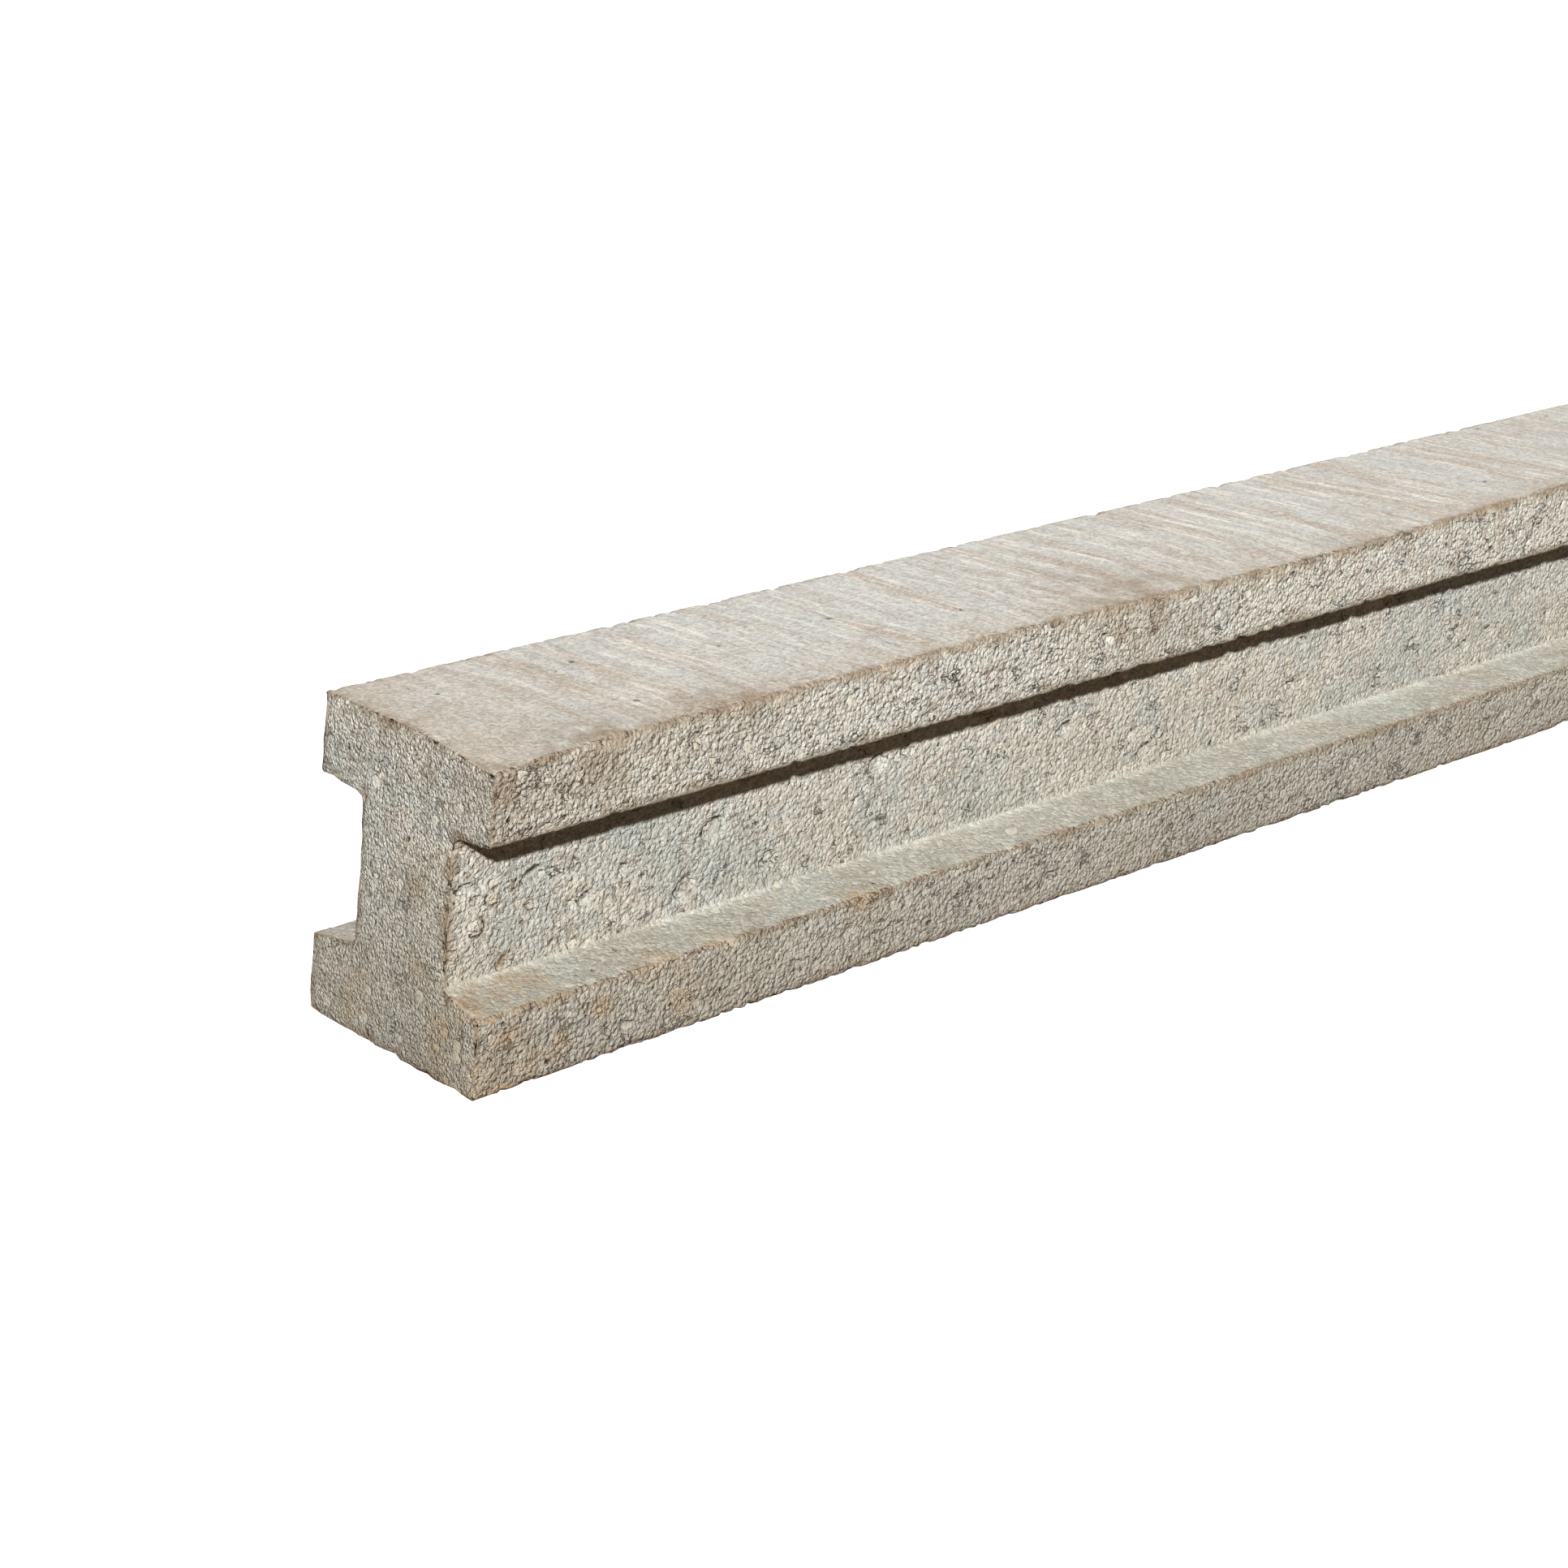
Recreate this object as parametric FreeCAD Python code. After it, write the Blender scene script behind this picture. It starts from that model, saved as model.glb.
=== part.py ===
"""Slotted precast concrete fence post, lying on one flange.

The post is one H-section casting with a panel slot down each side. Inside it lies the steel
cage: four long bars, the wire links that go round them, and the plastic chairs that hold the
lower bars off the mould. Every piece is its own solid, written to parts/NODE.step in
millimetres.

Frame: X along the post, Y across it, Z up. The origin is the middle of the resting face.
"""
import FreeCAD, Part
import math
import os

from FreeCAD import Vector

# ---- the casting -------------------------------------------------------------------
post_length = 2400.0         # along X, at the resting face
post_width = 94.0            # along Y, across the flanges
post_depth = 109.0           # along Z, over both flanges

top_flange_tip = 27.5        # thickness of the upper flange at its outer edge
top_flange_root = 28.5       # and where it meets the web
bottom_flange_tip = 26.5     # thickness of the lower flange at its outer edge
bottom_flange_root = 30.5    # and where it meets the web
slot_depth_left = 24.5       # depth of the slot on the +Y side
slot_depth_right = 19.0      # depth of the slot on the -Y side

end_set_back = 12.0          # how far each end leans in from the resting face to the top face
arris_radius = 2.5           # rounding of the outer long edges
slot_fillet = 5.0            # rounding where the flanges meet the web

# ---- the steel cage ----------------------------------------------------------------
bar_diameter = 6.0           # four long bars
bar_end_cover = 25.0         # concrete beyond each bar's end, at the top face
bar_face_cover = 17.0        # concrete between a bar and the resting or top face
link_wire = 3.0              # wire of the links that go round the bars
link_side_cover = 7.0        # concrete between a link and the floor of the slot
link_gap = 0.2               # grout between a link and a bar
link_pitch = 280.0           # longest distance between links
link_end_distance = 60.0     # from a bar's end to the first link

# ---- the plastic chairs under the lower bars ---------------------------------------
chair_count = 6              # chairs along the post, each under both lower bars
chair_clip_wall = 2.4        # wall of the clip round a bar
chair_length = 8.0           # along the bar
chair_bridge_height = 3.0    # of the bridge between the two clips
chair_leg_width = 5.0
chair_foot_overhang = 3.0    # of the foot beyond the outer side of a leg
chair_foot_height = 2.4
chair_skin = 1.5             # concrete under the foot
chair_from_link = 20.0       # from a link to the chair beside it


def arc_corner(before, corner, after, radius):
    """The two tangent points and the middle point of the arc that rounds a corner."""
    back = (before - corner).normalize()
    ahead = (after - corner).normalize()
    half_angle = back.getAngle(ahead) / 2.0
    reach = radius / math.tan(half_angle)
    bisector = (back + ahead).normalize()
    centre = corner + bisector * (radius / math.sin(half_angle))
    return corner + back * reach, centre - bisector * radius, corner + ahead * reach


def rounded_outline(corners):
    """A closed wire through (point, radius) corners, each rounded by a tangent arc."""
    count = len(corners)
    arcs = []
    for index, (point, radius) in enumerate(corners):
        before = corners[index - 1][0]
        after = corners[(index + 1) % count][0]
        arcs.append(arc_corner(before, point, after, radius))
    edges = []
    for index, (start, middle, end) in enumerate(arcs):
        edges.append(Part.Arc(start, middle, end).toShape())
        following = arcs[(index + 1) % count][0]
        edges.append(Part.makeLine(end, following))
    return Part.Wire(edges)


def section_corners(x):
    """The twelve corners of the H-section at x, counter-clockwise from the lower right."""
    left, right = post_width / 2.0, -post_width / 2.0
    web_left, web_right = left - slot_depth_left, right + slot_depth_right
    outline = [
        (right, 0.0, arris_radius),
        (left, 0.0, arris_radius),
        (left, bottom_flange_tip, arris_radius),
        (web_left, bottom_flange_root, slot_fillet),
        (web_left, post_depth - top_flange_root, slot_fillet),
        (left, post_depth - top_flange_tip, arris_radius),
        (left, post_depth, arris_radius),
        (right, post_depth, arris_radius),
        (right, post_depth - top_flange_tip, arris_radius),
        (web_right, post_depth - top_flange_root, slot_fillet),
        (web_right, bottom_flange_root, slot_fillet),
        (right, bottom_flange_tip, arris_radius),
    ]
    return [(Vector(x, y, z), radius) for y, z, radius in outline]


def make_casting():
    """The H-section carried along the post, trimmed by the two leaning ends."""
    half = post_length / 2.0
    section = Part.Face(rounded_outline(section_corners(-half)))
    prism = section.extrude(Vector(post_length, 0, 0))
    side_view = Part.makePolygon([
        Vector(-half, -post_width, 0.0),
        Vector(half, -post_width, 0.0),
        Vector(half - end_set_back, -post_width, post_depth),
        Vector(-half + end_set_back, -post_width, post_depth),
        Vector(-half, -post_width, 0.0),
    ])
    between_ends = Part.Face(side_view).extrude(Vector(0, 2.0 * post_width, 0))
    return prism.common(between_ends).Solids[0]


# ---- where the cage lies, worked out from the casting --------------------------------
bar_radius = bar_diameter / 2.0
web_width = post_width - slot_depth_left - slot_depth_right
web_centre = (slot_depth_right - slot_depth_left) / 2.0
bar_half_spacing = web_width / 2.0 - link_side_cover - link_wire - link_gap - bar_radius
bar_low = bar_face_cover + bar_radius
bar_high = post_depth - bar_low
bar_length = post_length - 2.0 * (bar_end_cover + end_set_back)

bar_places = {
    "bar_lower_left": (web_centre + bar_half_spacing, bar_low),
    "bar_lower_right": (web_centre - bar_half_spacing, bar_low),
    "bar_upper_left": (web_centre + bar_half_spacing, bar_high),
    "bar_upper_right": (web_centre - bar_half_spacing, bar_high),
}


def make_bar(y, z):
    """One long round bar."""
    return Part.makeCylinder(bar_radius, bar_length, Vector(-bar_length / 2.0, y, z), Vector(1, 0, 0))


def link_places():
    """The X of each link: evenly spaced, no further apart than the pitch."""
    span = bar_length - 2.0 * link_end_distance
    spaces = math.ceil(span / link_pitch)
    return [-span / 2.0 + span * index / spaces for index in range(spaces + 1)]


def make_link(x):
    """A closed wire ring bent round the four bars."""
    bend = bar_radius + link_gap + link_wire / 2.0
    low_y = web_centre - bar_half_spacing - bend
    high_y = web_centre + bar_half_spacing + bend
    low_z, high_z = bar_low - bend, bar_high + bend
    corners = [(low_y, low_z), (high_y, low_z), (high_y, high_z), (low_y, high_z)]
    path = rounded_outline([(Vector(x, y, z), bend) for y, z in corners])
    start, heading = path.Vertexes[0].Point, path.Edges[0].tangentAt(0)
    ring = Part.Wire(Part.makeCircle(link_wire / 2.0, start, heading))
    return path.makePipeShell([ring], True, False)


def chair_places():
    """The X of each chair: beside a link, spread evenly along the post."""
    links = link_places()
    last = len(links) - 1
    chosen = [round(last * (number + 0.5) / chair_count) for number in range(chair_count)]
    return [links[index] + chair_from_link for index in chosen]


def make_chair(x):
    """Two clips round the lower bars, a bridge between them, and a leg and a foot under each."""
    back = x - chair_length / 2.0
    low_y, high_y = web_centre - bar_half_spacing, web_centre + bar_half_spacing
    body = Part.makeBox(chair_length, high_y - low_y, chair_bridge_height,
                        Vector(back, low_y, bar_low - chair_bridge_height / 2.0))
    bores = []
    for y in (low_y, high_y):
        axis_start = Vector(back, y, bar_low)
        clip = Part.makeCylinder(bar_radius + chair_clip_wall, chair_length, axis_start, Vector(1, 0, 0))
        leg = Part.makeBox(chair_length, chair_leg_width, bar_low - chair_skin,
                           Vector(back, y - chair_leg_width / 2.0, chair_skin))
        foot_width = chair_leg_width + 2.0 * chair_foot_overhang
        foot = Part.makeBox(chair_length, foot_width, chair_foot_height,
                            Vector(back, y - foot_width / 2.0, chair_skin))
        body = body.fuse([clip, leg, foot])
        bores.append(Part.makeCylinder(bar_radius, chair_length, axis_start, Vector(1, 0, 0)))
    return body.cut(bores).removeSplitter().Solids[0]


def make_cage():
    """Every piece that the concrete is cast round, by name."""
    pieces = {name: make_bar(y, z) for name, (y, z) in bar_places.items()}
    for number, x in enumerate(link_places(), start=1):
        pieces[f"link_{number}"] = make_link(x)
    for number, x in enumerate(chair_places(), start=1):
        pieces[f"bar_chair_{number}"] = make_chair(x)
    return pieces


def main():
    os.makedirs("parts", exist_ok=True)
    cage = make_cage()
    casting = make_casting().cut(list(cage.values()))
    pieces = {"concrete_post": casting.Solids[0], **cage}
    for name, shape in pieces.items():
        shape.exportStep(f"parts/{name}.step")
        print(name, shape.ShapeType, len(shape.Solids), shape.isValid(), round(shape.Volume, 1))


main()
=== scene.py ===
"""Looks for a slotted concrete fence post: the rough casting, its steel and plastic inside, and the stage.

The casting's skin is one closed surface worked out from its H-section, with the relief of semi-dry
concrete in the mesh and its sand, smears and stains in the materials. Everything is in metres.
"""
import math
from types import SimpleNamespace

import bpy
import numpy as np
from bpy.props import FloatProperty, FloatVectorProperty, IntProperty, PointerProperty
from mathutils import Matrix, Vector
from mathutils.geometry import delaunay_2d_cdt


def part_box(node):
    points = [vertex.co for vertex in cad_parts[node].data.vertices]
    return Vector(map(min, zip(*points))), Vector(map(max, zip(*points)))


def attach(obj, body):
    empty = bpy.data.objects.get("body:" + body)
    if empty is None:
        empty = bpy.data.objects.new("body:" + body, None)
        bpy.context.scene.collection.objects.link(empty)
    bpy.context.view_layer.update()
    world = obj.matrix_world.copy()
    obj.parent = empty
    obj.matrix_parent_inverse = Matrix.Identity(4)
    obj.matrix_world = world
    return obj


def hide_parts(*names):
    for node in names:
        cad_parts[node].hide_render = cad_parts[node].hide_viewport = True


bl_info = {
    "name": "Slotted concrete post",
    "version": (1, 0, 0),
    "blender": (4, 5, 0),
    "location": "3D View > Sidebar > Post",
    "description": "Builds the skin, the cage finishes and the stage of a slotted concrete fence post",
    "category": "Object",
}

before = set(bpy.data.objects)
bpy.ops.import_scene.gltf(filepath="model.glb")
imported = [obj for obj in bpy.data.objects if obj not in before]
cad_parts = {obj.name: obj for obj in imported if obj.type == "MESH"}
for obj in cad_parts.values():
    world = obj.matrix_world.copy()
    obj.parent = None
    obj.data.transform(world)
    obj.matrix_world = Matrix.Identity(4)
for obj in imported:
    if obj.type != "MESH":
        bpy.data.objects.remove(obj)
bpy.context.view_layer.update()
CASTING = "concrete_post"
LOW, HIGH = (Vector(corner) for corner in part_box(CASTING))
LENGTH, DEPTH = HIGH.x - LOW.x, HIGH.z - LOW.z

# the finishes of the casting's faces, in the order of its material slots
TOP, SIDE, WEB, SHELF, END = range(5)


# ---- settings ------------------------------------------------------------------------

def size(name, description, default):
    """A length in metres that a user may change."""
    return FloatProperty(name=name, description=description, default=default, unit="LENGTH", precision=5)


def tint(name, description, default):
    """A colour that a user may change."""
    return FloatVectorProperty(name=name, description=description, default=default, subtype="COLOR",
                               size=3, min=0.0, max=1.0)


class SectionSizes(bpy.types.PropertyGroup):
    """The H-section, as it is cast."""
    top_tip: size("Top flange edge", "Thickness of the top flange at its outer edge", 0.0275)
    top_root: size("Top flange root", "Thickness of the top flange at the web", 0.0285)
    bottom_tip: size("Bottom flange edge", "Thickness of the bottom flange at its outer edge", 0.0265)
    bottom_root: size("Bottom flange root", "Thickness of the bottom flange at the web", 0.0305)
    slot_left: size("Left slot", "Depth of the panel slot on the left", 0.0245)
    slot_right: size("Right slot", "Depth of the panel slot on the right", 0.019)
    arris: size("Arris", "Rounding of the outer long edges", 0.0016)
    fillet: size("Fillet", "Rounding where the web meets the top flange", 0.0045)
    foot_fillet: size("Foot fillet", "Rounding where the web meets the bottom flange", 0.0012)
    end_lean: size("End lean", "How far each end leans in from the bottom face to the top face", 0.012)
    end_edge: size("End edge", "Rounding of the edges of the end faces", 0.0009)


class ReliefSizes(bpy.types.PropertyGroup):
    """The casting's uneven surface."""
    fine_pitch: size("Fine pitch", "Mesh spacing round the right side and top", 0.00135)
    coarse_pitch: size("Coarse pitch", "Mesh spacing round the left side and bottom", 0.0050)
    near_pitch: size("Near pitch", "Mesh spacing along the post at its near end", 0.0016)
    far_pitch: size("Far pitch", "Mesh spacing along the far stretch", 0.022)
    near_stretch: size("Near stretch", "Length over which the near spacing slowly doubles", 0.60)
    wave: size("Waviness", "Height of the long waves of the faces", 0.00030)
    lump: size("Lumps", "Height of the small lumps between stones", 0.00030)
    stone: size("Stones", "How far stones stand out of the rough faces", 0.00035)
    hollow: size("Hollows", "Depth of the hollows where the skin has broken away", 0.0018)
    chip: size("Chips", "Depth of the crumbled places along the arrises", 0.0020)
    fin: size("Fin", "Height of the mould fin along the foot of the web", 0.0003)
    corner_slump: size("Corner slump", "Drop of the top face at its near right corner", 0.0042)
    edge_dip: size("Edge dip", "Drop of the right top edge further along", 0.0021)
    seed: IntProperty(name="Seed", description="Picks the pattern of pebbles and pits", default=7, min=0)


class ConcreteColours(bpy.types.PropertyGroup):
    """The concrete's colours."""
    paste: tint("Paste", "Cement paste of the rough sides", (0.69, 0.665, 0.575))
    # pale and dark also paint the light and shade of the fine sand relief; dark also paints the shade between
    # grains, in creases and in pebble grooves, and the darkening towards the foot
    pale: tint("Pale grain", "Sand and stones in the paste", (0.80, 0.765, 0.67))
    dark: tint("Dark grain", "Dark sand and the ground's dirt", (0.215, 0.19, 0.145))
    bluish: tint("Slurry", "Blue-grey slurry on the web and ends", (0.49, 0.525, 0.49))
    pebble: tint("Pebbles", "Yellowish pebbles", (0.70, 0.59, 0.42))
    laitance: tint("Laitance", "Pale skin that trowelling brings up on the top", (0.53, 0.53, 0.495))
    clay: tint("Clay tint", "Brownish patches", (0.44, 0.37, 0.29))
    ochre: tint("Ochre grain", "Rusty sand grains", (0.50, 0.33, 0.16))
    smeared: tint("Smeared paste", "Paste of the trowelled shelves", (0.305, 0.30, 0.252))
    cut: tint("End paste", "Paste of the end faces", (0.66, 0.655, 0.57))
    # soil also paints the shade in the grooves round the big pebbles
    soil: tint("Soil stain", "Brown stain on edges and by the ground", (0.24, 0.17, 0.105))


class StageSettings(bpy.types.PropertyGroup):
    """Camera, lights and floor."""
    lens: FloatProperty(name="Lens", description="Focal length on the 36 mm wide sensor, in mm",
                        default=67.17)
    aim_along: size("Aim along", "Where the camera aims, from the near end", 0.1276)
    aim_height: size("Aim height", "Height of the point that the camera aims at", 0.0761)
    distance: size("Distance", "From the camera to that point", 0.9627)
    heading: FloatProperty(name="Heading", description="Camera's heading from the post's length",
                           default=math.radians(48.87), subtype="ANGLE")
    pitch: FloatProperty(name="Pitch", description="How far the camera looks down",
                         default=math.radians(19.906), subtype="ANGLE")
    roll: FloatProperty(name="Roll", description="Camera's roll", default=math.radians(0.57),
                        subtype="ANGLE")
    key: FloatProperty(name="Key light", description="Strength of the light over the camera", default=5.8)
    back: FloatProperty(name="Back light", description="Strength of the soft light from the far left",
                        default=3.4)
    overhead: FloatProperty(name="Overhead light", description="Power of the soft light above", default=1.5)
    fill: FloatProperty(name="Fill", description="Strength of the surrounding light", default=0.07)
    floor_shade: tint("Floor", "Colour of the floor", (0.92, 0.92, 0.92))


# ---- noise and scattered shapes --------------------------------------------------------

def cell_random(cells, seed):
    """A repeatable random number from 0 to 1 for each whole-number cell, by integer mixing."""
    mixed = np.zeros(cells.shape[:-1], np.uint32) + np.uint32(seed * 7919 + 17)
    for axis, factor in enumerate((0x8DA6B343, 0xD8163841, 0xCB1AB31F)):
        mixed = mixed ^ (cells[..., axis].astype(np.uint32) * np.uint32(factor))
        mixed = (mixed ^ (mixed >> np.uint32(15))) * np.uint32(0x2C1B3C6D)
        mixed = mixed ^ (mixed >> np.uint32(12))
    return (mixed & np.uint32(0xFFFFFF)).astype(float) / float(0x1000000)


def noise(points, pitch, seed):
    """Smooth noise from -1 to 1: random corner values blended across cells by 6t^5 - 15t^4 + 10t^3."""
    scaled = points / pitch
    cell = np.floor(scaled).astype(np.int64)
    t = scaled - cell
    t = t * t * t * (t * (t * 6.0 - 15.0) + 10.0)
    total = np.zeros(len(points))
    for corner in np.ndindex(2, 2, 2):
        weight = np.prod(np.where(np.array(corner) == 1, t, 1.0 - t), axis=1)
        total += weight * cell_random(cell + np.array(corner), seed)
    return total * 2.0 - 1.0


def layered_noise(points, pitch, layers, seed):
    """Noise summed over layers, each half the pitch and half the height of the one before."""
    total = np.zeros(len(points))
    for layer in range(layers):
        total += noise(points, pitch / 2.0 ** layer, seed + layer) / 2.0 ** layer
    return total / (2.0 - 2.0 ** (1 - layers))


def scattered(points, cell_size, radii, share, seed):
    """Round spots at random places in a share of the cells.

    Gives 1 - (distance / radius)^2 of the spot that covers each point most, and -1 where none is near.
    """
    home = np.floor(points / cell_size).astype(np.int64)
    cover = np.full(len(points), -1.0)
    for offset in np.ndindex(3, 3, 3):
        cell = home + np.array(offset) - 1
        place = np.stack([cell_random(cell, seed + axis) for axis in range(3)], axis=1)
        chosen = cell_random(cell, seed + 3) < share
        radius = radii[0] + (radii[1] - radii[0]) * cell_random(cell, seed + 4) ** 2
        away = np.linalg.norm((cell + place) * cell_size - points, axis=1)
        cover = np.maximum(cover, np.where(chosen, 1.0 - (away / radius) ** 2, -1.0))
    return cover


def smooth_step(value, low, high):
    """0 below low, 1 above high, and 3t^2 - 2t^3 between."""
    t = np.clip((value - low) / (high - low), 0.0, 1.0)
    return t * t * (3.0 - 2.0 * t)


def hump(distance, reach):
    """A smooth hump: 1 at no distance, falling as e^-(distance / reach)^2."""
    return np.exp(-(distance / reach) ** 2)


# ---- the casting's skin ------------------------------------------------------------------

ARC_FINENESS = 1.3  # steps round a rounded corner, for each pitch of its arc
EDGE_TURNS = (45.0, 62.0, 90.0)  # degrees round an end's edge at which rings stand
RING_GROWTH = 1.05  # how much further apart each ring stands, past the near stretch
RING_SHRINK = 1.13  # how much closer each ring stands, towards the far end
END_PITCH = 1.35  # spacing of the grid that fills an end face, in fine pitches
END_JITTER = 0.25  # how far that grid's points are moved at random, in its own spacing
END_MARGIN = 0.85  # how far they stay from the outline, in its own spacing
UPRIGHT = (0.45, 0.85)  # a normal's sideways or endways part, where those faces' relief sets in and is full
LEVEL = (0.5, 0.9)  # the same for its upward or downward part
FLANGE_MARGIN = 0.01  # a slot comes no nearer than this to the top or the bottom face


def section_corners(sizes):
    """The H-section's corners as rows of y, z and rounding, anticlockwise from the lower right,
    with the finish of the face that follows each corner."""
    right, left = LOW.y, HIGH.y
    web_right, web_left = right + sizes.slot_right, left - sizes.slot_left
    top = DEPTH
    rows = [
        (right, 0.0, sizes.arris, SIDE),
        (left, 0.0, sizes.arris, SIDE),
        (left, sizes.bottom_tip, sizes.arris, SHELF),
        (web_left, sizes.bottom_root, sizes.foot_fillet, WEB),
        (web_left, top - sizes.top_root, sizes.fillet, SHELF),
        (left, top - sizes.top_tip, sizes.arris, SIDE),
        (left, top, sizes.arris, TOP),
        (right, top, sizes.arris, SIDE),
        (right, top - sizes.top_tip, sizes.arris, SHELF),
        (web_right, top - sizes.top_root, sizes.fillet, WEB),
        (web_right, sizes.bottom_root, sizes.foot_fillet, SHELF),
        (right, sizes.bottom_tip, sizes.arris, SIDE),
    ]
    return np.array([row[:3] for row in rows]), [row[3] for row in rows]


def section_outline(sizes, relief):
    """The rounded outline: straight runs and tangent arcs, stepped finely on the right and top.

    Gives the points, their outward normals, and the finish of the step that leaves each point.
    """
    corners, finishes = section_corners(sizes)
    places, radii = corners[:, :2], corners[:, 2]
    runs = np.roll(places, -1, axis=0) - places
    ahead = runs / np.linalg.norm(runs, axis=1)[:, None]
    back = -np.roll(ahead, 1, axis=0)
    half = np.arccos(np.clip((ahead * back).sum(1), -1, 1)) / 2.0
    reach = radii / np.tan(half)
    middle = (ahead + back) / np.linalg.norm(ahead + back, axis=1)[:, None]
    centres = places + middle * (radii / np.sin(half))[:, None]
    points, normals, faces = [], [], []
    for i in range(len(corners)):
        start, end = back[i] * reach[i] + places[i], ahead[i] * reach[i] + places[i]
        spokes = np.stack([start - centres[i], end - centres[i]]) / radii[i]
        turn = math.pi - 2.0 * half[i]
        outward = 1.0 if cross_2d(back[i], ahead[i]) < 0 else -1.0
        fine = (places[i][0] < 0 and i > 0) or finishes[i] == TOP
        pitch = relief.fine_pitch if fine else relief.coarse_pitch
        steps = max(2, math.ceil(turn * radii[i] / pitch * ARC_FINENESS))
        t = np.arange(steps) / steps
        arc = np.sin((1 - t) * turn)[:, None] * spokes[0] + np.sin(t * turn)[:, None] * spokes[1]
        arc = arc / math.sin(turn)
        points.append(centres[i] + arc * radii[i])
        normals.append(arc * outward)
        faces.append(np.full(steps, finishes[i]))
        after = (i + 1) % len(corners)
        run_end = back[after] * reach[after] + places[after]
        steps = max(2, math.ceil(np.linalg.norm(run_end - end) / pitch))
        t = (np.arange(steps) / steps)[:, None]
        points.append(end + (run_end - end) * t)
        normals.append(np.repeat([[ahead[i][1], -ahead[i][0]]], steps, axis=0))
        faces.append(np.full(steps, finishes[i]))
    return np.concatenate(points), np.concatenate(normals), np.concatenate(faces)


def cross_2d(a, b):
    """The turn from a to b, positive anticlockwise."""
    return a[0] * b[1] - a[1] * b[0]


def outline_distance(points, sizes):
    """How far each (y, z) point is from the nearest side of the unrounded section."""
    corners = section_corners(sizes)[0][:, :2]
    nearest = np.full(len(points), np.inf)
    for start, end in zip(corners, np.roll(corners, -1, axis=0)):
        run = end - start
        t = np.clip(((points - start) @ run) / (run @ run), 0.0, 1.0)
        nearest = np.minimum(nearest, np.linalg.norm(start + t[:, None] * run - points, axis=1))
    return nearest


def inside_section(points, sizes):
    """True where a (y, z) point lies in the H: in the web's width, or in a flange."""
    y, z = points.T
    in_web = (y > LOW.y + sizes.slot_right) & (y < HIGH.y - sizes.slot_left)
    in_flange = (z < sizes.bottom_tip) | (z > DEPTH - sizes.top_tip)
    in_box = (y > LOW.y) & (y < HIGH.y) & (z > 0.0) & (z < DEPTH)
    return in_box & (in_web | in_flange)


def stations(sizes, relief):
    """Distances of the rings from the near end, and how far each ring is drawn in.

    Each end's edge is a quarter round; its middle is where the end face begins. The spacing doubles
    evenly over the near stretch (the places are then a geometric series), grows faster after it, and
    shrinks again at the far end.
    """
    turn = np.radians(EDGE_TURNS)
    edge_along = sizes.end_edge * (1.0 - np.cos(turn))
    edge_in = sizes.end_edge * (1.0 - np.sin(turn))
    stretch = relief.near_stretch
    growth = 1.0 + relief.near_pitch / stretch
    near = stretch * (growth ** np.arange(1, int(math.log(2.0) / math.log(growth))) - 1.0)
    near = near[near > sizes.end_edge * 1.5]
    grow = (near[-1] - near[-2]) * RING_GROWTH ** np.arange(1, 80)
    grow = near[-1] + np.cumsum(grow[grow < relief.far_pitch])
    tail = relief.near_pitch * RING_SHRINK ** np.arange(1, 60)
    tail = LENGTH - sizes.end_edge - np.cumsum(tail[tail < relief.far_pitch])[::-1]
    count = math.ceil((tail[0] - grow[-1]) / relief.far_pitch)
    far = np.concatenate([np.linspace(grow[-1], tail[0], count + 1)[1:-1], tail])
    along = np.concatenate([edge_along, near, grow, far, LENGTH - edge_along[::-1]])
    drawn_in = np.concatenate([edge_in, np.zeros(len(near) + len(grow) + len(far)), edge_in[::-1]])
    return along, drawn_in


def lean_at(height, sizes):
    """How far an end face has leant in at a height."""
    return sizes.end_lean * height / DEPTH


def end_fill(ring, sizes, relief, rng):
    """Triangles that close an end: the ring and a jittered grid inside it, joined by Delaunay's rule.

    Gives the (y, z) points, ring first, and the triangles, anticlockwise.
    """
    pitch = relief.fine_pitch * END_PITCH
    y = np.arange(LOW.y, HIGH.y, pitch)
    z = np.arange(0.0, DEPTH, pitch)
    grid = np.stack(np.meshgrid(y, z, indexing="ij"), axis=-1).reshape(-1, 2)
    grid = grid + rng.uniform(-END_JITTER, END_JITTER, grid.shape) * pitch
    keep = inside_section(grid, sizes) & (outline_distance(grid, sizes) > pitch * END_MARGIN)
    flat = np.concatenate([ring, grid[keep]])
    loop = [list(range(len(ring)))]
    made, _, triangles, _, _, _ = delaunay_2d_cdt([Vector(p) for p in flat], [], loop, 1, 1e-7)
    if len(made) != len(flat):
        raise RuntimeError("the end face lost or gained points when it was filled")
    return flat, np.array(triangles, int)


def vertex_normals(points, quads, triangles):
    """The outward normal of each point, as the sum of its faces' normals."""
    normals = np.zeros_like(points)
    for faces in (quads, triangles):
        a, b, c, d = (points[faces[:, k]] for k in (0, 1, 2, faces.shape[1] - 1))
        face_normal = np.cross(c - a, d - b) if faces.shape[1] == 4 else np.cross(b - a, c - a)
        for k in range(faces.shape[1]):
            np.add.at(normals, faces[:, k], face_normal)
    return normals / np.linalg.norm(normals, axis=1)[:, None]


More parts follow.
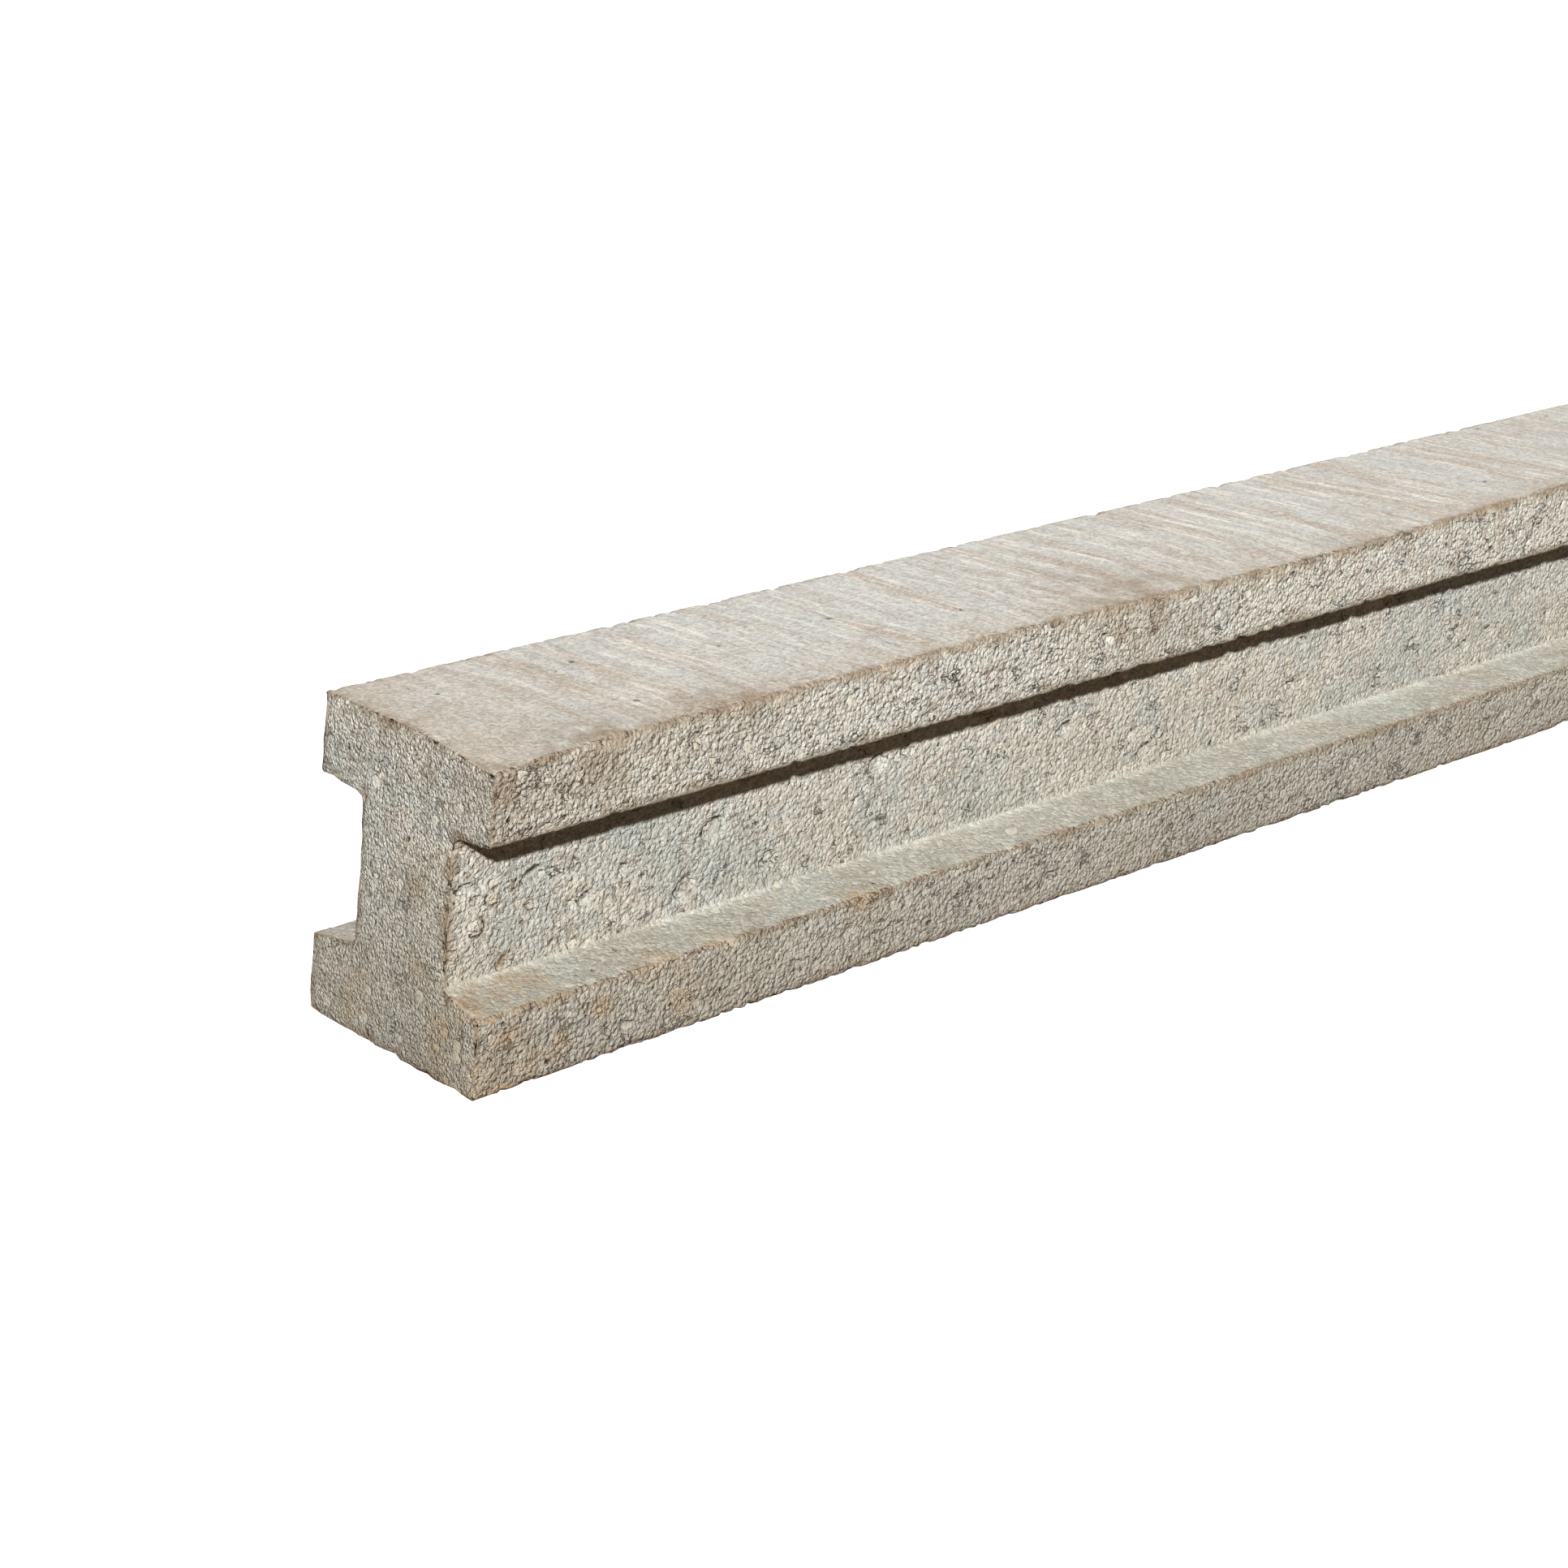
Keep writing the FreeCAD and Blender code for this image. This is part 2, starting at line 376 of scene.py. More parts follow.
def face_weights(points, normals, sizes):
    """How much each point belongs to each kind of face, from 0 to 1."""
    y, z = points[:, 1], points[:, 2]
    on_end = smooth_step(np.abs(normals[:, 0]), *UPRIGHT)
    on_top = smooth_step(normals[:, 2], *LEVEL) * (z > DEPTH - sizes.top_tip * 0.5)
    on_bottom = smooth_step(-normals[:, 2], *LEVEL) * (z < sizes.bottom_tip * 0.5)
    in_slot = (y > LOW.y + sizes.arris) & (y < HIGH.y - sizes.arris)
    in_slot &= (z > FLANGE_MARGIN) & (z < DEPTH - FLANGE_MARGIN)
    upright = smooth_step(np.abs(normals[:, 1]), *UPRIGHT)
    web = upright * in_slot
    shelf = smooth_step(np.abs(normals[:, 2]), *LEVEL) * (1.0 - on_top) * (1.0 - on_bottom)
    side = upright * (1.0 - in_slot)
    rest = 1.0 - on_end
    return {"end": on_end, "top": on_top * rest, "bottom": on_bottom * rest, "web": web * rest,
            "shelf": shelf * rest, "side": side * rest}


# hollows at known places on the right side of the web: from the near end, height, and radius
KNOWN_HOLLOWS = ((0.100, 0.040, 0.0036), (0.059, 0.0465, 0.0026), (0.137, 0.041, 0.0027),
                 (0.053, 0.047, 0.0020), (0.112, 0.058, 0.0040), (0.281, 0.057, 0.0034),
                 (0.319, 0.047, 0.0030))

# scattered features: size of a cell, smallest and largest radius, and the share of cells that hold one
STONES = (0.0070, (0.0014, 0.0028), 0.85)
HOLLOWS = (0.0125, (0.0013, 0.0038), 0.38)
DENTS = (0.055, (0.007, 0.015), 0.45)
HOLLOW_STRETCH = (0.85, 1.0, 1.1)
SLANT = 0.45  # how far stones and hollows lean along the post, for their height
HANG = (0.5, -0.87)  # the way from a hollow's shaded rim to its middle, along the post and up: a shadow is painted on the rim's upper, near-end side, which faces away from the key light

# how strongly each kind of relief shows on each kind of face
RELIEF_SHARES = {
    "waves": dict(top=0.8, side=1.0, web=1.2, shelf=0.5, end=0.5, bottom=0.3),
    "lumps": dict(top=0.10, side=0.7, web=0.7, shelf=0.10, end=0.25, bottom=0.4),
    "stones": dict(side=0.65, web=1.0, end=0.2, bottom=0.3),
    "hollows": dict(side=0.45, web=0.9, end=0.12, bottom=0.6),
    "dents": dict(side=0.4, web=1.0, end=0.3),
}

# soil stains: from the near end, across from the right side, height, and radius
STAINS = (
    (0.013, 0.0, 0.018, 0.007), (0.033, 0.0, 0.010, 0.006), (0.052, 0.0, 0.020, 0.006),
    (0.075, 0.0, 0.026, 0.008), (0.085, 0.0, 0.014, 0.009), (0.004, 0.033, 0.033, 0.007),
    (0.010, 0.0, 0.003, 0.016), (0.012, 0.0, DEPTH - 0.004, 0.018), (0.055, 0.0, DEPTH - 0.002, 0.022),
    (0.105, 0.0, DEPTH, 0.020), (0.30, 0.012, DEPTH, 0.030), (0.012, 0.0, DEPTH - 0.030, 0.009),
    (0.008, 0.008, 0.028, 0.012), (0.006, 0.037, 0.060, 0.006), (0.003, 0.067, 0.012, 0.010),
    (0.004, 0.019, 0.014, 0.011), (0.028, 0.011, 0.029, 0.010), (0.100, 0.002, 0.026, 0.008),
    (0.165, 0.002, 0.026, 0.007),
)


def leaning_points(points, relief):
    """The points warped a little and slanted, so that stones and hollows lean the way the mix slumped."""
    seed = relief.seed + 11
    warp = np.stack([noise(points, 0.0045, seed + axis) for axis in range(3)], axis=1) * 0.0011
    return points + warp - points[:, 2:] * [SLANT, 0.0, 0.0]


def hollow_field(points, sizes, relief):
    """The hollows, scattered and known: 1 in the middle of one, 0 at its rim, and less outside."""
    leaning = leaning_points(points, relief)
    hollows = scattered(leaning * HOLLOW_STRETCH, *HOLLOWS, relief.seed + 50)
    for along, up, radius in KNOWN_HOLLOWS:
        middle = [LOW.x + along - SLANT * up, LOW.y + sizes.slot_right, up]
        away = np.linalg.norm(leaning - middle, axis=1)
        hollows = np.maximum(hollows, np.maximum(1.0 - (away / radius) ** 2, -1.0))
    return hollows


def overhang_field(points, sizes, relief):
    """Which way a hollow's middle lies from each point: 1 where it lies along HANG, on the rim's upper,
    near-end side, where the materials paint a shadow crescent.

    That is the cosine between the field's slope along the face, by central differences, and HANG.
    """
    step = 0.0003
    slope = []
    for axis in (0, 2):
        shift = np.zeros(3)
        shift[axis] = step
        after, before = (hollow_field(points + way * shift, sizes, relief) for way in (1.0, -1.0))
        slope.append(after - before)
    steepness = np.hypot(slope[0], slope[1]) + 1e-6
    return (slope[0] * HANG[0] + slope[1] * HANG[1]) / steepness


def relief_height(points, weights, detail, hollows, relief):
    """How far the concrete stands out of the plain shape at each point.

    Long waves, plus lumps, plus domed stones, less flat-floored hollows and broad dents. Stones stand
    out more by the near end. Small features fade where the mesh is too coarse to hold them.
    """
    share = {kind: sum(weights[face] * part for face, part in faces.items())
             for kind, faces in RELIEF_SHARES.items()}
    seed = relief.seed
    waves = relief.wave * (layered_noise(points, 0.12, 2, seed) + 0.35 * noise(points, 0.035, seed + 9))
    lumps = layered_noise(points, 0.0058, 2, seed + 20)
    stones = scattered(leaning_points(points, relief), *STONES, seed + 40)
    stones = np.where(hollows > -0.3, np.minimum(stones, -hollows), stones)
    dents = scattered(points, *DENTS, seed + 60)
    near_end = 1.0 + 1.6 * hump(points[:, 0] - LOW.x, 0.035)
    height = waves * share["waves"]
    height += detail * relief.lump * lumps * share["lumps"]
    height += detail * relief.stone * smooth_step(stones, 0.0, 0.7) * near_end * share["stones"]
    height -= detail * relief.hollow * smooth_step(hollows, 0.0, 0.35) * share["hollows"]
    height -= relief.hollow * 0.5 * smooth_step(dents, 0.0, 0.9) * share["dents"]
    return height


def crumbled(points, relief):
    """How far an arris has crumbled, as a share of the chip depth: bites where noise is high, and nibbles."""
    bites = np.maximum(layered_noise(points, 0.0062, 3, relief.seed + 80) - 0.30, 0.0) * 1.5
    nibbles = np.maximum(layered_noise(points, 0.0030, 2, relief.seed + 85), 0.0)
    return bites + nibbles


def edge_mask(points, sizes):
    """1 on the outer arrises and on the edges of the ends, fading to 0 over a few millimetres."""
    section = section_corners(sizes)[0]
    outer = section[section[:, 2] == sizes.arris][:, :2]
    nearest = np.min(np.linalg.norm(points[:, None, 1:] - outer[None], axis=2), axis=1)
    to_end = LENGTH / 2.0 - lean_at(points[:, 2], sizes) - np.abs(points[:, 0])
    to_outline = outline_distance(points[:, 1:], sizes)
    at_end = np.hypot(np.maximum(to_end, 0.0), to_outline)
    return 1.0 - smooth_step(np.minimum(nearest, at_end), 0.0008, 0.0045)


def slump_drop(points, relief):
    """How far the top face's right edge has sunk: most at the near corner, and a little further on."""
    from_end = points[:, 0] - LOW.x
    profile = relief.corner_slump * hump(from_end, 0.034)
    profile += relief.edge_dip * hump(from_end - 0.40, 0.085)
    profile += 0.0007 * noise(points * [1.0, 0.0, 0.0], 0.06, relief.seed + 90)
    upper = smooth_step(points[:, 2], DEPTH - 0.022, DEPTH - 0.002)
    return profile * hump(points[:, 1] - LOW.y, 0.024) * upper


def fin_mask(points, weights, sizes):
    """1 along the thin mould fin at the foot of the web, on both sides of the post."""
    along = points * [1.0, 0.0, 0.0]
    foot = sizes.bottom_root + sizes.foot_fillet * 0.6 + 0.0007 * noise(along, 0.03, 71)
    broken = smooth_step(noise(along, 0.013, 73), -0.75, -0.1)
    in_slot = np.abs(points[:, 1]) < HIGH.y - 0.012
    return hump(points[:, 2] - foot, 0.0008) * broken * in_slot * (1.0 - weights["end"])


def stain_mask(points):
    """Soil stains: each a blurred ball, broken up by noise."""
    total = np.zeros(len(points))
    for along, across, up, radius in STAINS:
        away = np.linalg.norm(points - [LOW.x + along, LOW.y + across, up], axis=1)
        total = np.maximum(total, hump(away, radius))
    broken = 0.55 + 0.75 * layered_noise(points, 0.006, 3, 111)
    return np.clip(total * broken, 0.0, 1.0)


def worn_mask(points):
    """Where the pale skin has worn to brown: by the near end, and in a band along the right top edge."""
    from_end = points[:, 0] - LOW.x
    by_end = hump(from_end, 0.060) * smooth_step(points[:, 2], DEPTH - 0.045, DEPTH - 0.015)
    band = hump(points[:, 1] - LOW.y, 0.015) * hump(from_end, 0.75)
    band *= smooth_step(points[:, 2], DEPTH - 0.006, DEPTH - 0.001)
    broken = 0.60 + 0.90 * layered_noise(points * [0.6, 1.0, 1.0], 0.020, 3, 131)
    return np.clip(np.maximum(by_end, band) * broken, 0.0, 1.0)


def ring_points(flat, along, sizes):
    """The rings' points in space: a ring leans more the nearer it is to an end."""
    lean = lean_at(flat[..., 1], sizes)
    x = LOW.x + lean + (along / LENGTH)[:, None] * (LENGTH - 2.0 * lean)
    return np.stack([x, flat[..., 0], flat[..., 1]], axis=-1).reshape(-1, 3)


def ring_quads(rings, count):
    """The quads between neighbouring rings of count points each."""
    start = np.arange(rings - 1)[:, None] * count
    step = np.arange(count)[None]
    follow = (step + 1) % count
    quads = [start + step, start + follow, start + count + follow, start + count + step]
    return np.stack(quads, axis=-1).reshape(-1, 4)


def end_face(ring, side, sizes, relief, rng):
    """An end face inside its ring: the points inside it, and triangles that count the ring's points first.

    At distance d from the outline it falls back by r - sqrt(r^2 - (r - d)^2), r being the edge's rounding.
    """
    fill, faces = end_fill(ring, sizes, relief, rng)
    inner = fill[len(ring):]
    inward = np.minimum(outline_distance(inner, sizes), sizes.end_edge)
    fall = sizes.end_edge - np.sqrt(sizes.end_edge ** 2 - (sizes.end_edge - inward) ** 2)
    x = side * (LENGTH / 2.0 - lean_at(inner[:, 1], sizes) - fall)
    return np.stack([x, inner[:, 0], inner[:, 1]], axis=1), faces if side > 0 else faces[:, ::-1]


def plain_shape(sizes, relief):
    """The casting before its relief: rings of the section's outline along the post, and two filled ends.

    Gives points, quads, triangles, the finish of each face, and the share of fine relief at each point.
    """
    rng = np.random.default_rng(relief.seed)
    outline, out_normal, outline_finish = section_outline(sizes, relief)
    along, drawn_in = stations(sizes, relief)
    rings, count = len(along), len(outline)
    flat = outline[None] - out_normal[None] * drawn_in[:, None, None]
    blocks, triangles = [ring_points(flat, along, sizes)], []
    for ring, side in ((0, -1.0), (rings - 1, 1.0)):
        inner, faces = end_face(flat[ring], side, sizes, relief, rng)
        first = sum(len(block) for block in blocks)
        index = np.concatenate([ring * count + np.arange(count), first + np.arange(len(inner))])
        blocks.append(inner)
        triangles.append(index[faces])
    points, triangles = np.concatenate(blocks), np.concatenate(triangles)
    finish = np.concatenate([np.tile(outline_finish, rings - 1), np.full(len(triangles), END)])
    fade = 1.0 - smooth_step(np.gradient(along), relief.near_pitch * 2.1, relief.near_pitch * 4.5)
    detail = np.concatenate([np.repeat(fade, count), np.ones(len(points) - rings * count)])
    return points, ring_quads(rings, count), triangles, finish, detail


def make_mesh(name, points, quads, triangles, finish):
    """A mesh object from arrays of points, quads and triangles, with a material index for each face."""
    mesh = bpy.data.meshes.new(name)
    corners = np.concatenate([quads.ravel(), triangles.ravel()]).astype(np.int32)
    totals = np.concatenate([np.full(len(quads), 4), np.full(len(triangles), 3)]).astype(np.int32)
    starts = np.concatenate([[0], np.cumsum(totals)[:-1]]).astype(np.int32)
    mesh.vertices.add(len(points))
    mesh.vertices.foreach_set("co", points.astype(np.float32).ravel())
    mesh.loops.add(len(corners))
    mesh.loops.foreach_set("vertex_index", corners)
    mesh.polygons.add(len(totals))
    mesh.polygons.foreach_set("loop_start", starts)
    mesh.polygons.foreach_set("material_index", finish.astype(np.int32))
    mesh.polygons.foreach_set("use_smooth", np.ones(len(totals), bool))
    mesh.update(calc_edges=True)
    mesh.validate()
    item = bpy.data.objects.new(name, mesh)
    bpy.context.scene.collection.objects.link(item)
    return item


def build_skin(sizes, relief):
    """The casting's skin: the plain shape moved along its normals by the relief, and its masks.

    The materials read the masks, which are stored as one number for each point.
    """
    points, quads, triangles, finish, detail = plain_shape(sizes, relief)
    normals = vertex_normals(points, quads, triangles)
    coarse_side = (points[:, 1] > 0.0) & (points[:, 2] < DEPTH - 0.003) & (np.abs(normals[:, 0]) < 0.5)
    detail = np.where(coarse_side, detail * 0.5, detail)
    weights = face_weights(points, normals, sizes)
    # one of the masks marks the hollows' rims that face away from the key light, where a shadow is painted
    masks = {"edge": edge_mask(points, sizes), "fin": fin_mask(points, weights, sizes),
             "hollow": hollow_field(points, sizes, relief), "overhang": overhang_field(points, sizes, relief),
             "stain": stain_mask(points), "worn": worn_mask(points)}
    edges = masks["edge"]
    height = relief_height(points, weights, detail * (1.0 - 0.6 * edges), masks["hollow"], relief)
    height += relief.fin * masks["fin"] * detail
    height -= relief.chip * edges * crumbled(points, relief) * detail
    moved = points + normals * height[:, None]
    moved[:, 2] -= slump_drop(points, relief)
    moved[:, 2] = np.maximum(moved[:, 2], 0.0)
    skin = make_mesh("post_skin", moved, quads, triangles, finish)
    for name, values in masks.items():
        layer = skin.data.attributes.new(name, "FLOAT", "POINT")
        layer.data.foreach_set("value", values.astype(np.float32))
    return skin


# ---- shader building ---------------------------------------------------------------------

def set_inputs(tree, node, inputs):
    """Sets a node's inputs to values, or links them to sockets."""
    for key, value in inputs.items():
        if isinstance(value, bpy.types.NodeSocket):
            tree.links.new(value, node.inputs[key])
        else:
            node.inputs[key].default_value = value


def add(tree, kind, inputs=None, **settings):
    """A node with its settings and its inputs."""
    node = tree.nodes.new("ShaderNode" + kind)
    for key, value in settings.items():
        setattr(node, key, value)
    set_inputs(tree, node, inputs or {})
    return node


def maths(tree, operation, *values, clamp=False):
    """A Math node's result."""
    return add(tree, "Math", dict(enumerate(values)), operation=operation, use_clamp=clamp).outputs[0]


def times(tree, first, second):
    """Two values multiplied."""
    return maths(tree, "MULTIPLY", first, second)


def larger(tree, first, second):
    """The larger of two values."""
    return maths(tree, "MAXIMUM", first, second)


def vector_maths(tree, operation, first, second):
    """A Vector Math node's result; SCALE takes a number as its second value."""
    inputs = {0: first, 3 if operation == "SCALE" else 1: second}
    return add(tree, "VectorMath", inputs, operation=operation).outputs[0]


def channels(tree, colour):
    """A colour's three channels, as random numbers where the colour is a cell's."""
    return add(tree, "SeparateColor", {0: colour}).outputs


def ramp(tree, value, low, high, from_value=0.0, to_value=1.0):
    """value taken smoothly from [low, high] to [from_value, to_value]."""
    node = add(tree, "MapRange", {0: value, 1: low, 2: high, 3: from_value, 4: to_value},
               interpolation_type="SMOOTHSTEP")
    return node.outputs[0]


def blend(tree, share, first, second):
    """Two colours mixed by share."""
    return add(tree, "Mix", {0: share, 6: first, 7: second}, data_type="RGBA").outputs[2]


def rgba(colour):
    """A colour with full alpha."""
    return (*colour, 1.0)


def noise_node(tree, vector, scale, detail=2.0, roughness=0.5, distortion=0.0):
    """A Noise Texture's value."""
    inputs = {"Vector": vector, "Scale": scale, "Detail": detail, "Roughness": roughness,
              "Distortion": distortion}
    return add(tree, "TexNoise", inputs).outputs["Fac"]


def cells_node(tree, vector, scale, feature="F1"):
    """A Voronoi Texture's outputs: the distance to a cell's middle or edge, and the cell's random colour."""
    return add(tree, "TexVoronoi", {"Vector": vector, "Scale": scale}, feature=feature).outputs


def warped_by(tree, vector, scale, amount, detail=2.0):
    """The vector pushed about by noise, by up to half the amount each way."""
    wobble = add(tree, "TexNoise", {"Vector": vector, "Scale": scale, "Detail": detail, "Roughness": 0.6})
    centred = vector_maths(tree, "SUBTRACT", wobble.outputs["Color"], (0.5, 0.5, 0.5))
    return vector_maths(tree, "ADD", vector, vector_maths(tree, "SCALE", centred, amount))


def bump_into(tree, shader, height, strength=1.0):
    """A bump of the height, in metres, on the shader's normal."""
    bump = add(tree, "Bump", {"Height": height, "Distance": 1.0, "Strength": strength})
    tree.links.new(bump.outputs[0], shader.inputs["Normal"])


def new_group(name, inputs, outputs):
    """A shader node group: its inputs by name and default, which is None for a vector, and its outputs.

    Gives the group, and the sockets that its nodes read from and give to.
    """
    group = bpy.data.node_groups.new(name, "ShaderNodeTree")
    for label, default in inputs.items():
        kind = "NodeSocketVector" if default is None else "NodeSocketFloat"
        socket = group.interface.new_socket(name=label, in_out="INPUT", socket_type=kind)
        if default is not None:
            socket.default_value = default
    for label in outputs:
        group.interface.new_socket(name=label, in_out="OUTPUT", socket_type="NodeSocketFloat")
    return group, group.nodes.new("NodeGroupInput").outputs, group.nodes.new("NodeGroupOutput").inputs


def give(tree, result, **values):
    """Links values to a group's outputs by name."""
    for label, value in values.items():
        tree.links.new(value, result[label])


def place(tree, group, **inputs):
    """A group placed in a material with its own values."""
    node = tree.nodes.new("ShaderNodeGroup")
    node.node_tree = bpy.data.node_groups[group]
    set_inputs(tree, node, inputs)
    return node.outputs


# ---- shared surface effects ------------------------------------------------------------------

def group_sand():
    """Sand grains under a skin of paste: rounded cells with finer noise over them and lumps under them.

    Gives the height in metres; each grain's tone, half its own random tone and half the fine noise of the
    height, so that raised bits are painted paler and sunk ones darker, as light and shade; and a mask of the
    spaces between grains, which the materials paint dark as shade.
    """
    tree, given, result = new_group(
        "Sand grain", {"Vector": None, "Scale": 700.0, "Height": 0.0004, "Lumps": 0.8},
        ("Height", "Shade", "Gap"))
    cells = cells_node(tree, warped_by(tree, given["Vector"], 700.0, 0.0018), given["Scale"])
    fine = noise_node(tree, given["Vector"], times(tree, given["Scale"], 1.9), 2.0, 0.6)
    broad = noise_node(tree, given["Vector"], times(tree, given["Scale"], 0.28), 3.0, 0.6)
    fall = maths(tree, "POWER", cells["Distance"], 2.0)
    mixed = maths(tree, "MULTIPLY_ADD", fall, -0.75, 0.5)
    mixed = maths(tree, "MULTIPLY_ADD", fine, 0.35, mixed)
    mixed = maths(tree, "MULTIPLY_ADD", broad, given["Lumps"], mixed)
    tone = channels(tree, cells["Color"])[0]
    # the tone follows the fine relief: painted light on raised bits and painted shade in sunk ones; the mask
    # between grains is painted dark as shade
    give(tree, result, Height=times(tree, mixed, given["Height"]),
         Shade=maths(tree, "MULTIPLY_ADD", fine, 0.5, times(tree, tone, 0.5)),
         Gap=ramp(tree, fall, 0.25, 0.55))


def group_crackle():
    """Wrinkled paste: a net of thin creases between upright, ragged flakes, each with its own tone."""
    tree, given, result = new_group(
        "Crackled paste", {"Vector": None, "Scale": 330.0, "Width": 0.16}, ("Crease", "Tone"))
    loose = warped_by(tree, given["Vector"], 260.0, 0.0046, 3.0)
    upright = vector_maths(tree, "MULTIPLY", loose, (1.3, 1.3, 0.75))
    from_edge = cells_node(tree, upright, given["Scale"], "DISTANCE_TO_EDGE")["Distance"]
    line = ramp(tree, from_edge, 0.0, given["Width"], 1.0, 0.0)
    broken = ramp(tree, noise_node(tree, given["Vector"], 170.0, 2.0), 0.38, 0.56, 0.25, 1.0)
    flakes = channels(tree, cells_node(tree, upright, given["Scale"])["Color"])
    give(tree, result, Crease=times(tree, line, broken), Tone=flakes[0])


def group_pebbles():
    """Pebbles showing through the paste: nearly round spots in a share of the cells.

    Gives the pebble's mask, its dome, the groove round it, and its own random tone.
    """
    tree, given, result = new_group(
        "Pebbles", {"Vector": None, "Scale": 135.0, "Share": 0.45}, ("Mask", "Dome", "Groove", "Tone"))
    cells = cells_node(tree, warped_by(tree, given["Vector"], 300.0, 0.0034), given["Scale"])
    random = channels(tree, cells["Color"])
    chosen = maths(tree, "LESS_THAN", random[0], given["Share"])
    radius = maths(tree, "MULTIPLY_ADD", maths(tree, "POWER", random[1], 2.0), 0.20, 0.19)
    reach = maths(tree, "DIVIDE", cells["Distance"], radius)
    bowl = maths(tree, "SUBTRACT", 1.0, times(tree, reach, reach), clamp=True)
    ring = ramp(tree, maths(tree, "ABSOLUTE", maths(tree, "SUBTRACT", reach, 1.12)), 0.0, 0.26, 1.0, 0.0)
    patchy = ramp(tree, noise_node(tree, given["Vector"], 240.0, 1.0), 0.40, 0.58)
    give(tree, result, Mask=times(tree, ramp(tree, reach, 0.80, 1.0, 1.0, 0.0), chosen),
         Dome=times(tree, bowl, chosen), Groove=times(tree, times(tree, ring, patchy), chosen),
         Tone=random[2])


def group_hollows():
    """Broken-out hollows: the mesh's soft mask cut to a crisp, ragged shape.

    Gives the floor, and a painted shadow: a dark crescent inside the rim, on the side that faces away from
    the key light, as the mesh's mask marks it.
    """
    tree, given, result = new_group(
        "Broken hollows", {"Vector": None, "Hollow": 0.0, "Overhang": 0.0, "Ragged": 0.5}, ("Floor", "Gap"))
    rough = maths(tree, "SUBTRACT", noise_node(tree, given["Vector"], 430.0, 4.0, 0.62), 0.5)
    hollow = maths(tree, "MULTIPLY_ADD", rough, given["Ragged"], given["Hollow"])
    from_rim = maths(tree, "ABSOLUTE", maths(tree, "SUBTRACT", hollow, 0.15))
    # painted shadow: a crescent at the rim on the side away from the key light
    under = maths(tree, "MULTIPLY_ADD", rough, 0.6, given["Overhang"])
    gap = times(tree, ramp(tree, from_rim, 0.26, 0.46, 1.0, 0.0), ramp(tree, under, 0.30, 0.52))
    give(tree, result, Floor=ramp(tree, hollow, 0.12, 0.34), Gap=gap)


def group_lip():
    """The trowelled top's lip over the flange's side: 1 in a ragged band under the given height."""
    tree, given, result = new_group("Trowelled lip", {"Vector": None, "Top": 0.1, "Depth": 0.0035}, ("Lip",))
    height = add(tree, "SeparateXYZ", {0: given["Vector"]}).outputs[2]
    below = maths(tree, "SUBTRACT", given["Top"], height)
    wander = maths(tree, "SUBTRACT", noise_node(tree, given["Vector"], 75.0, 4.0, 0.6), 0.5)
    ragged = maths(tree, "MULTIPLY_ADD", wander, 0.020, below)
    over = maths(tree, "DIVIDE", ragged, given["Depth"])
    give(tree, result, Lip=ramp(tree, over, 0.92, 1.08, 1.0, 0.0))


def group_pinholes():
    """Pinholes: small air holes in a share of the cells of warped space, which the materials paint dark as
    shade. Mask and depth from 0 to 1.
    """
    tree, given, result = new_group(
        "Pinholes", {"Vector": None, "Scale": 260.0, "Share": 0.2}, ("Mask", "Depth"))
    cells = cells_node(tree, warped_by(tree, given["Vector"], 600.0, 0.0022), given["Scale"])
    random = channels(tree, cells["Color"])
    chosen = maths(tree, "LESS_THAN", random[0], given["Share"])
    radius = maths(tree, "MULTIPLY_ADD", random[1], 0.20, 0.10)
    reach = maths(tree, "DIVIDE", cells["Distance"], radius)
    give(tree, result, Mask=times(tree, ramp(tree, reach, 0.55, 1.1, 1.0, 0.0), chosen),
         Depth=times(tree, ramp(tree, reach, 0.0, 1.2, 1.0, 0.0), chosen))


def group_smears():
    """Trowel smears: noise drawn out along one direction of the face, fine and broad, and fine drag lines."""
    tree, given, result = new_group(
        "Trowel smears", {"Vector": None, "Angle": 0.0, "Along": 28.0, "Across": 420.0, "Bend": 0.004},
        ("Streak", "Broad", "Drag"))
    bent = warped_by(tree, given["Vector"], 22.0, given["Bend"], 1.0)
    turned = add(tree, "VectorRotate", {"Vector": bent, "Angle": given["Angle"]}, rotation_type="Z_AXIS")
    stretch = add(tree, "CombineXYZ", {0: given["Along"], 1: given["Across"], 2: given["Across"]})
    drawn = vector_maths(tree, "MULTIPLY", turned.outputs[0], stretch.outputs[0])
    wide = vector_maths(tree, "SCALE", drawn, 0.28)
    lines = vector_maths(tree, "MULTIPLY", drawn, (3.2, 3.2, 3.2))
    give(tree, result, Streak=noise_node(tree, drawn, 1.0, 4.0, 0.62, 0.3),
         Broad=noise_node(tree, wide, 1.0, 3.0, 0.55, 0.2), Drag=noise_node(tree, lines, 1.0, 2.0, 0.6))


def group_patches():
    """Blotches: broad and middling noise, for uneven drying and soiling."""
    tree, given, result = new_group("Patches", {"Vector": None, "Scale": 25.0}, ("Broad", "Middle"))
    give(tree, result, Broad=noise_node(tree, given["Vector"], given["Scale"], 3.0, 0.55, 0.4),
         Middle=noise_node(tree, given["Vector"], times(tree, given["Scale"], 4.3), 3.0, 0.6, 0.2))


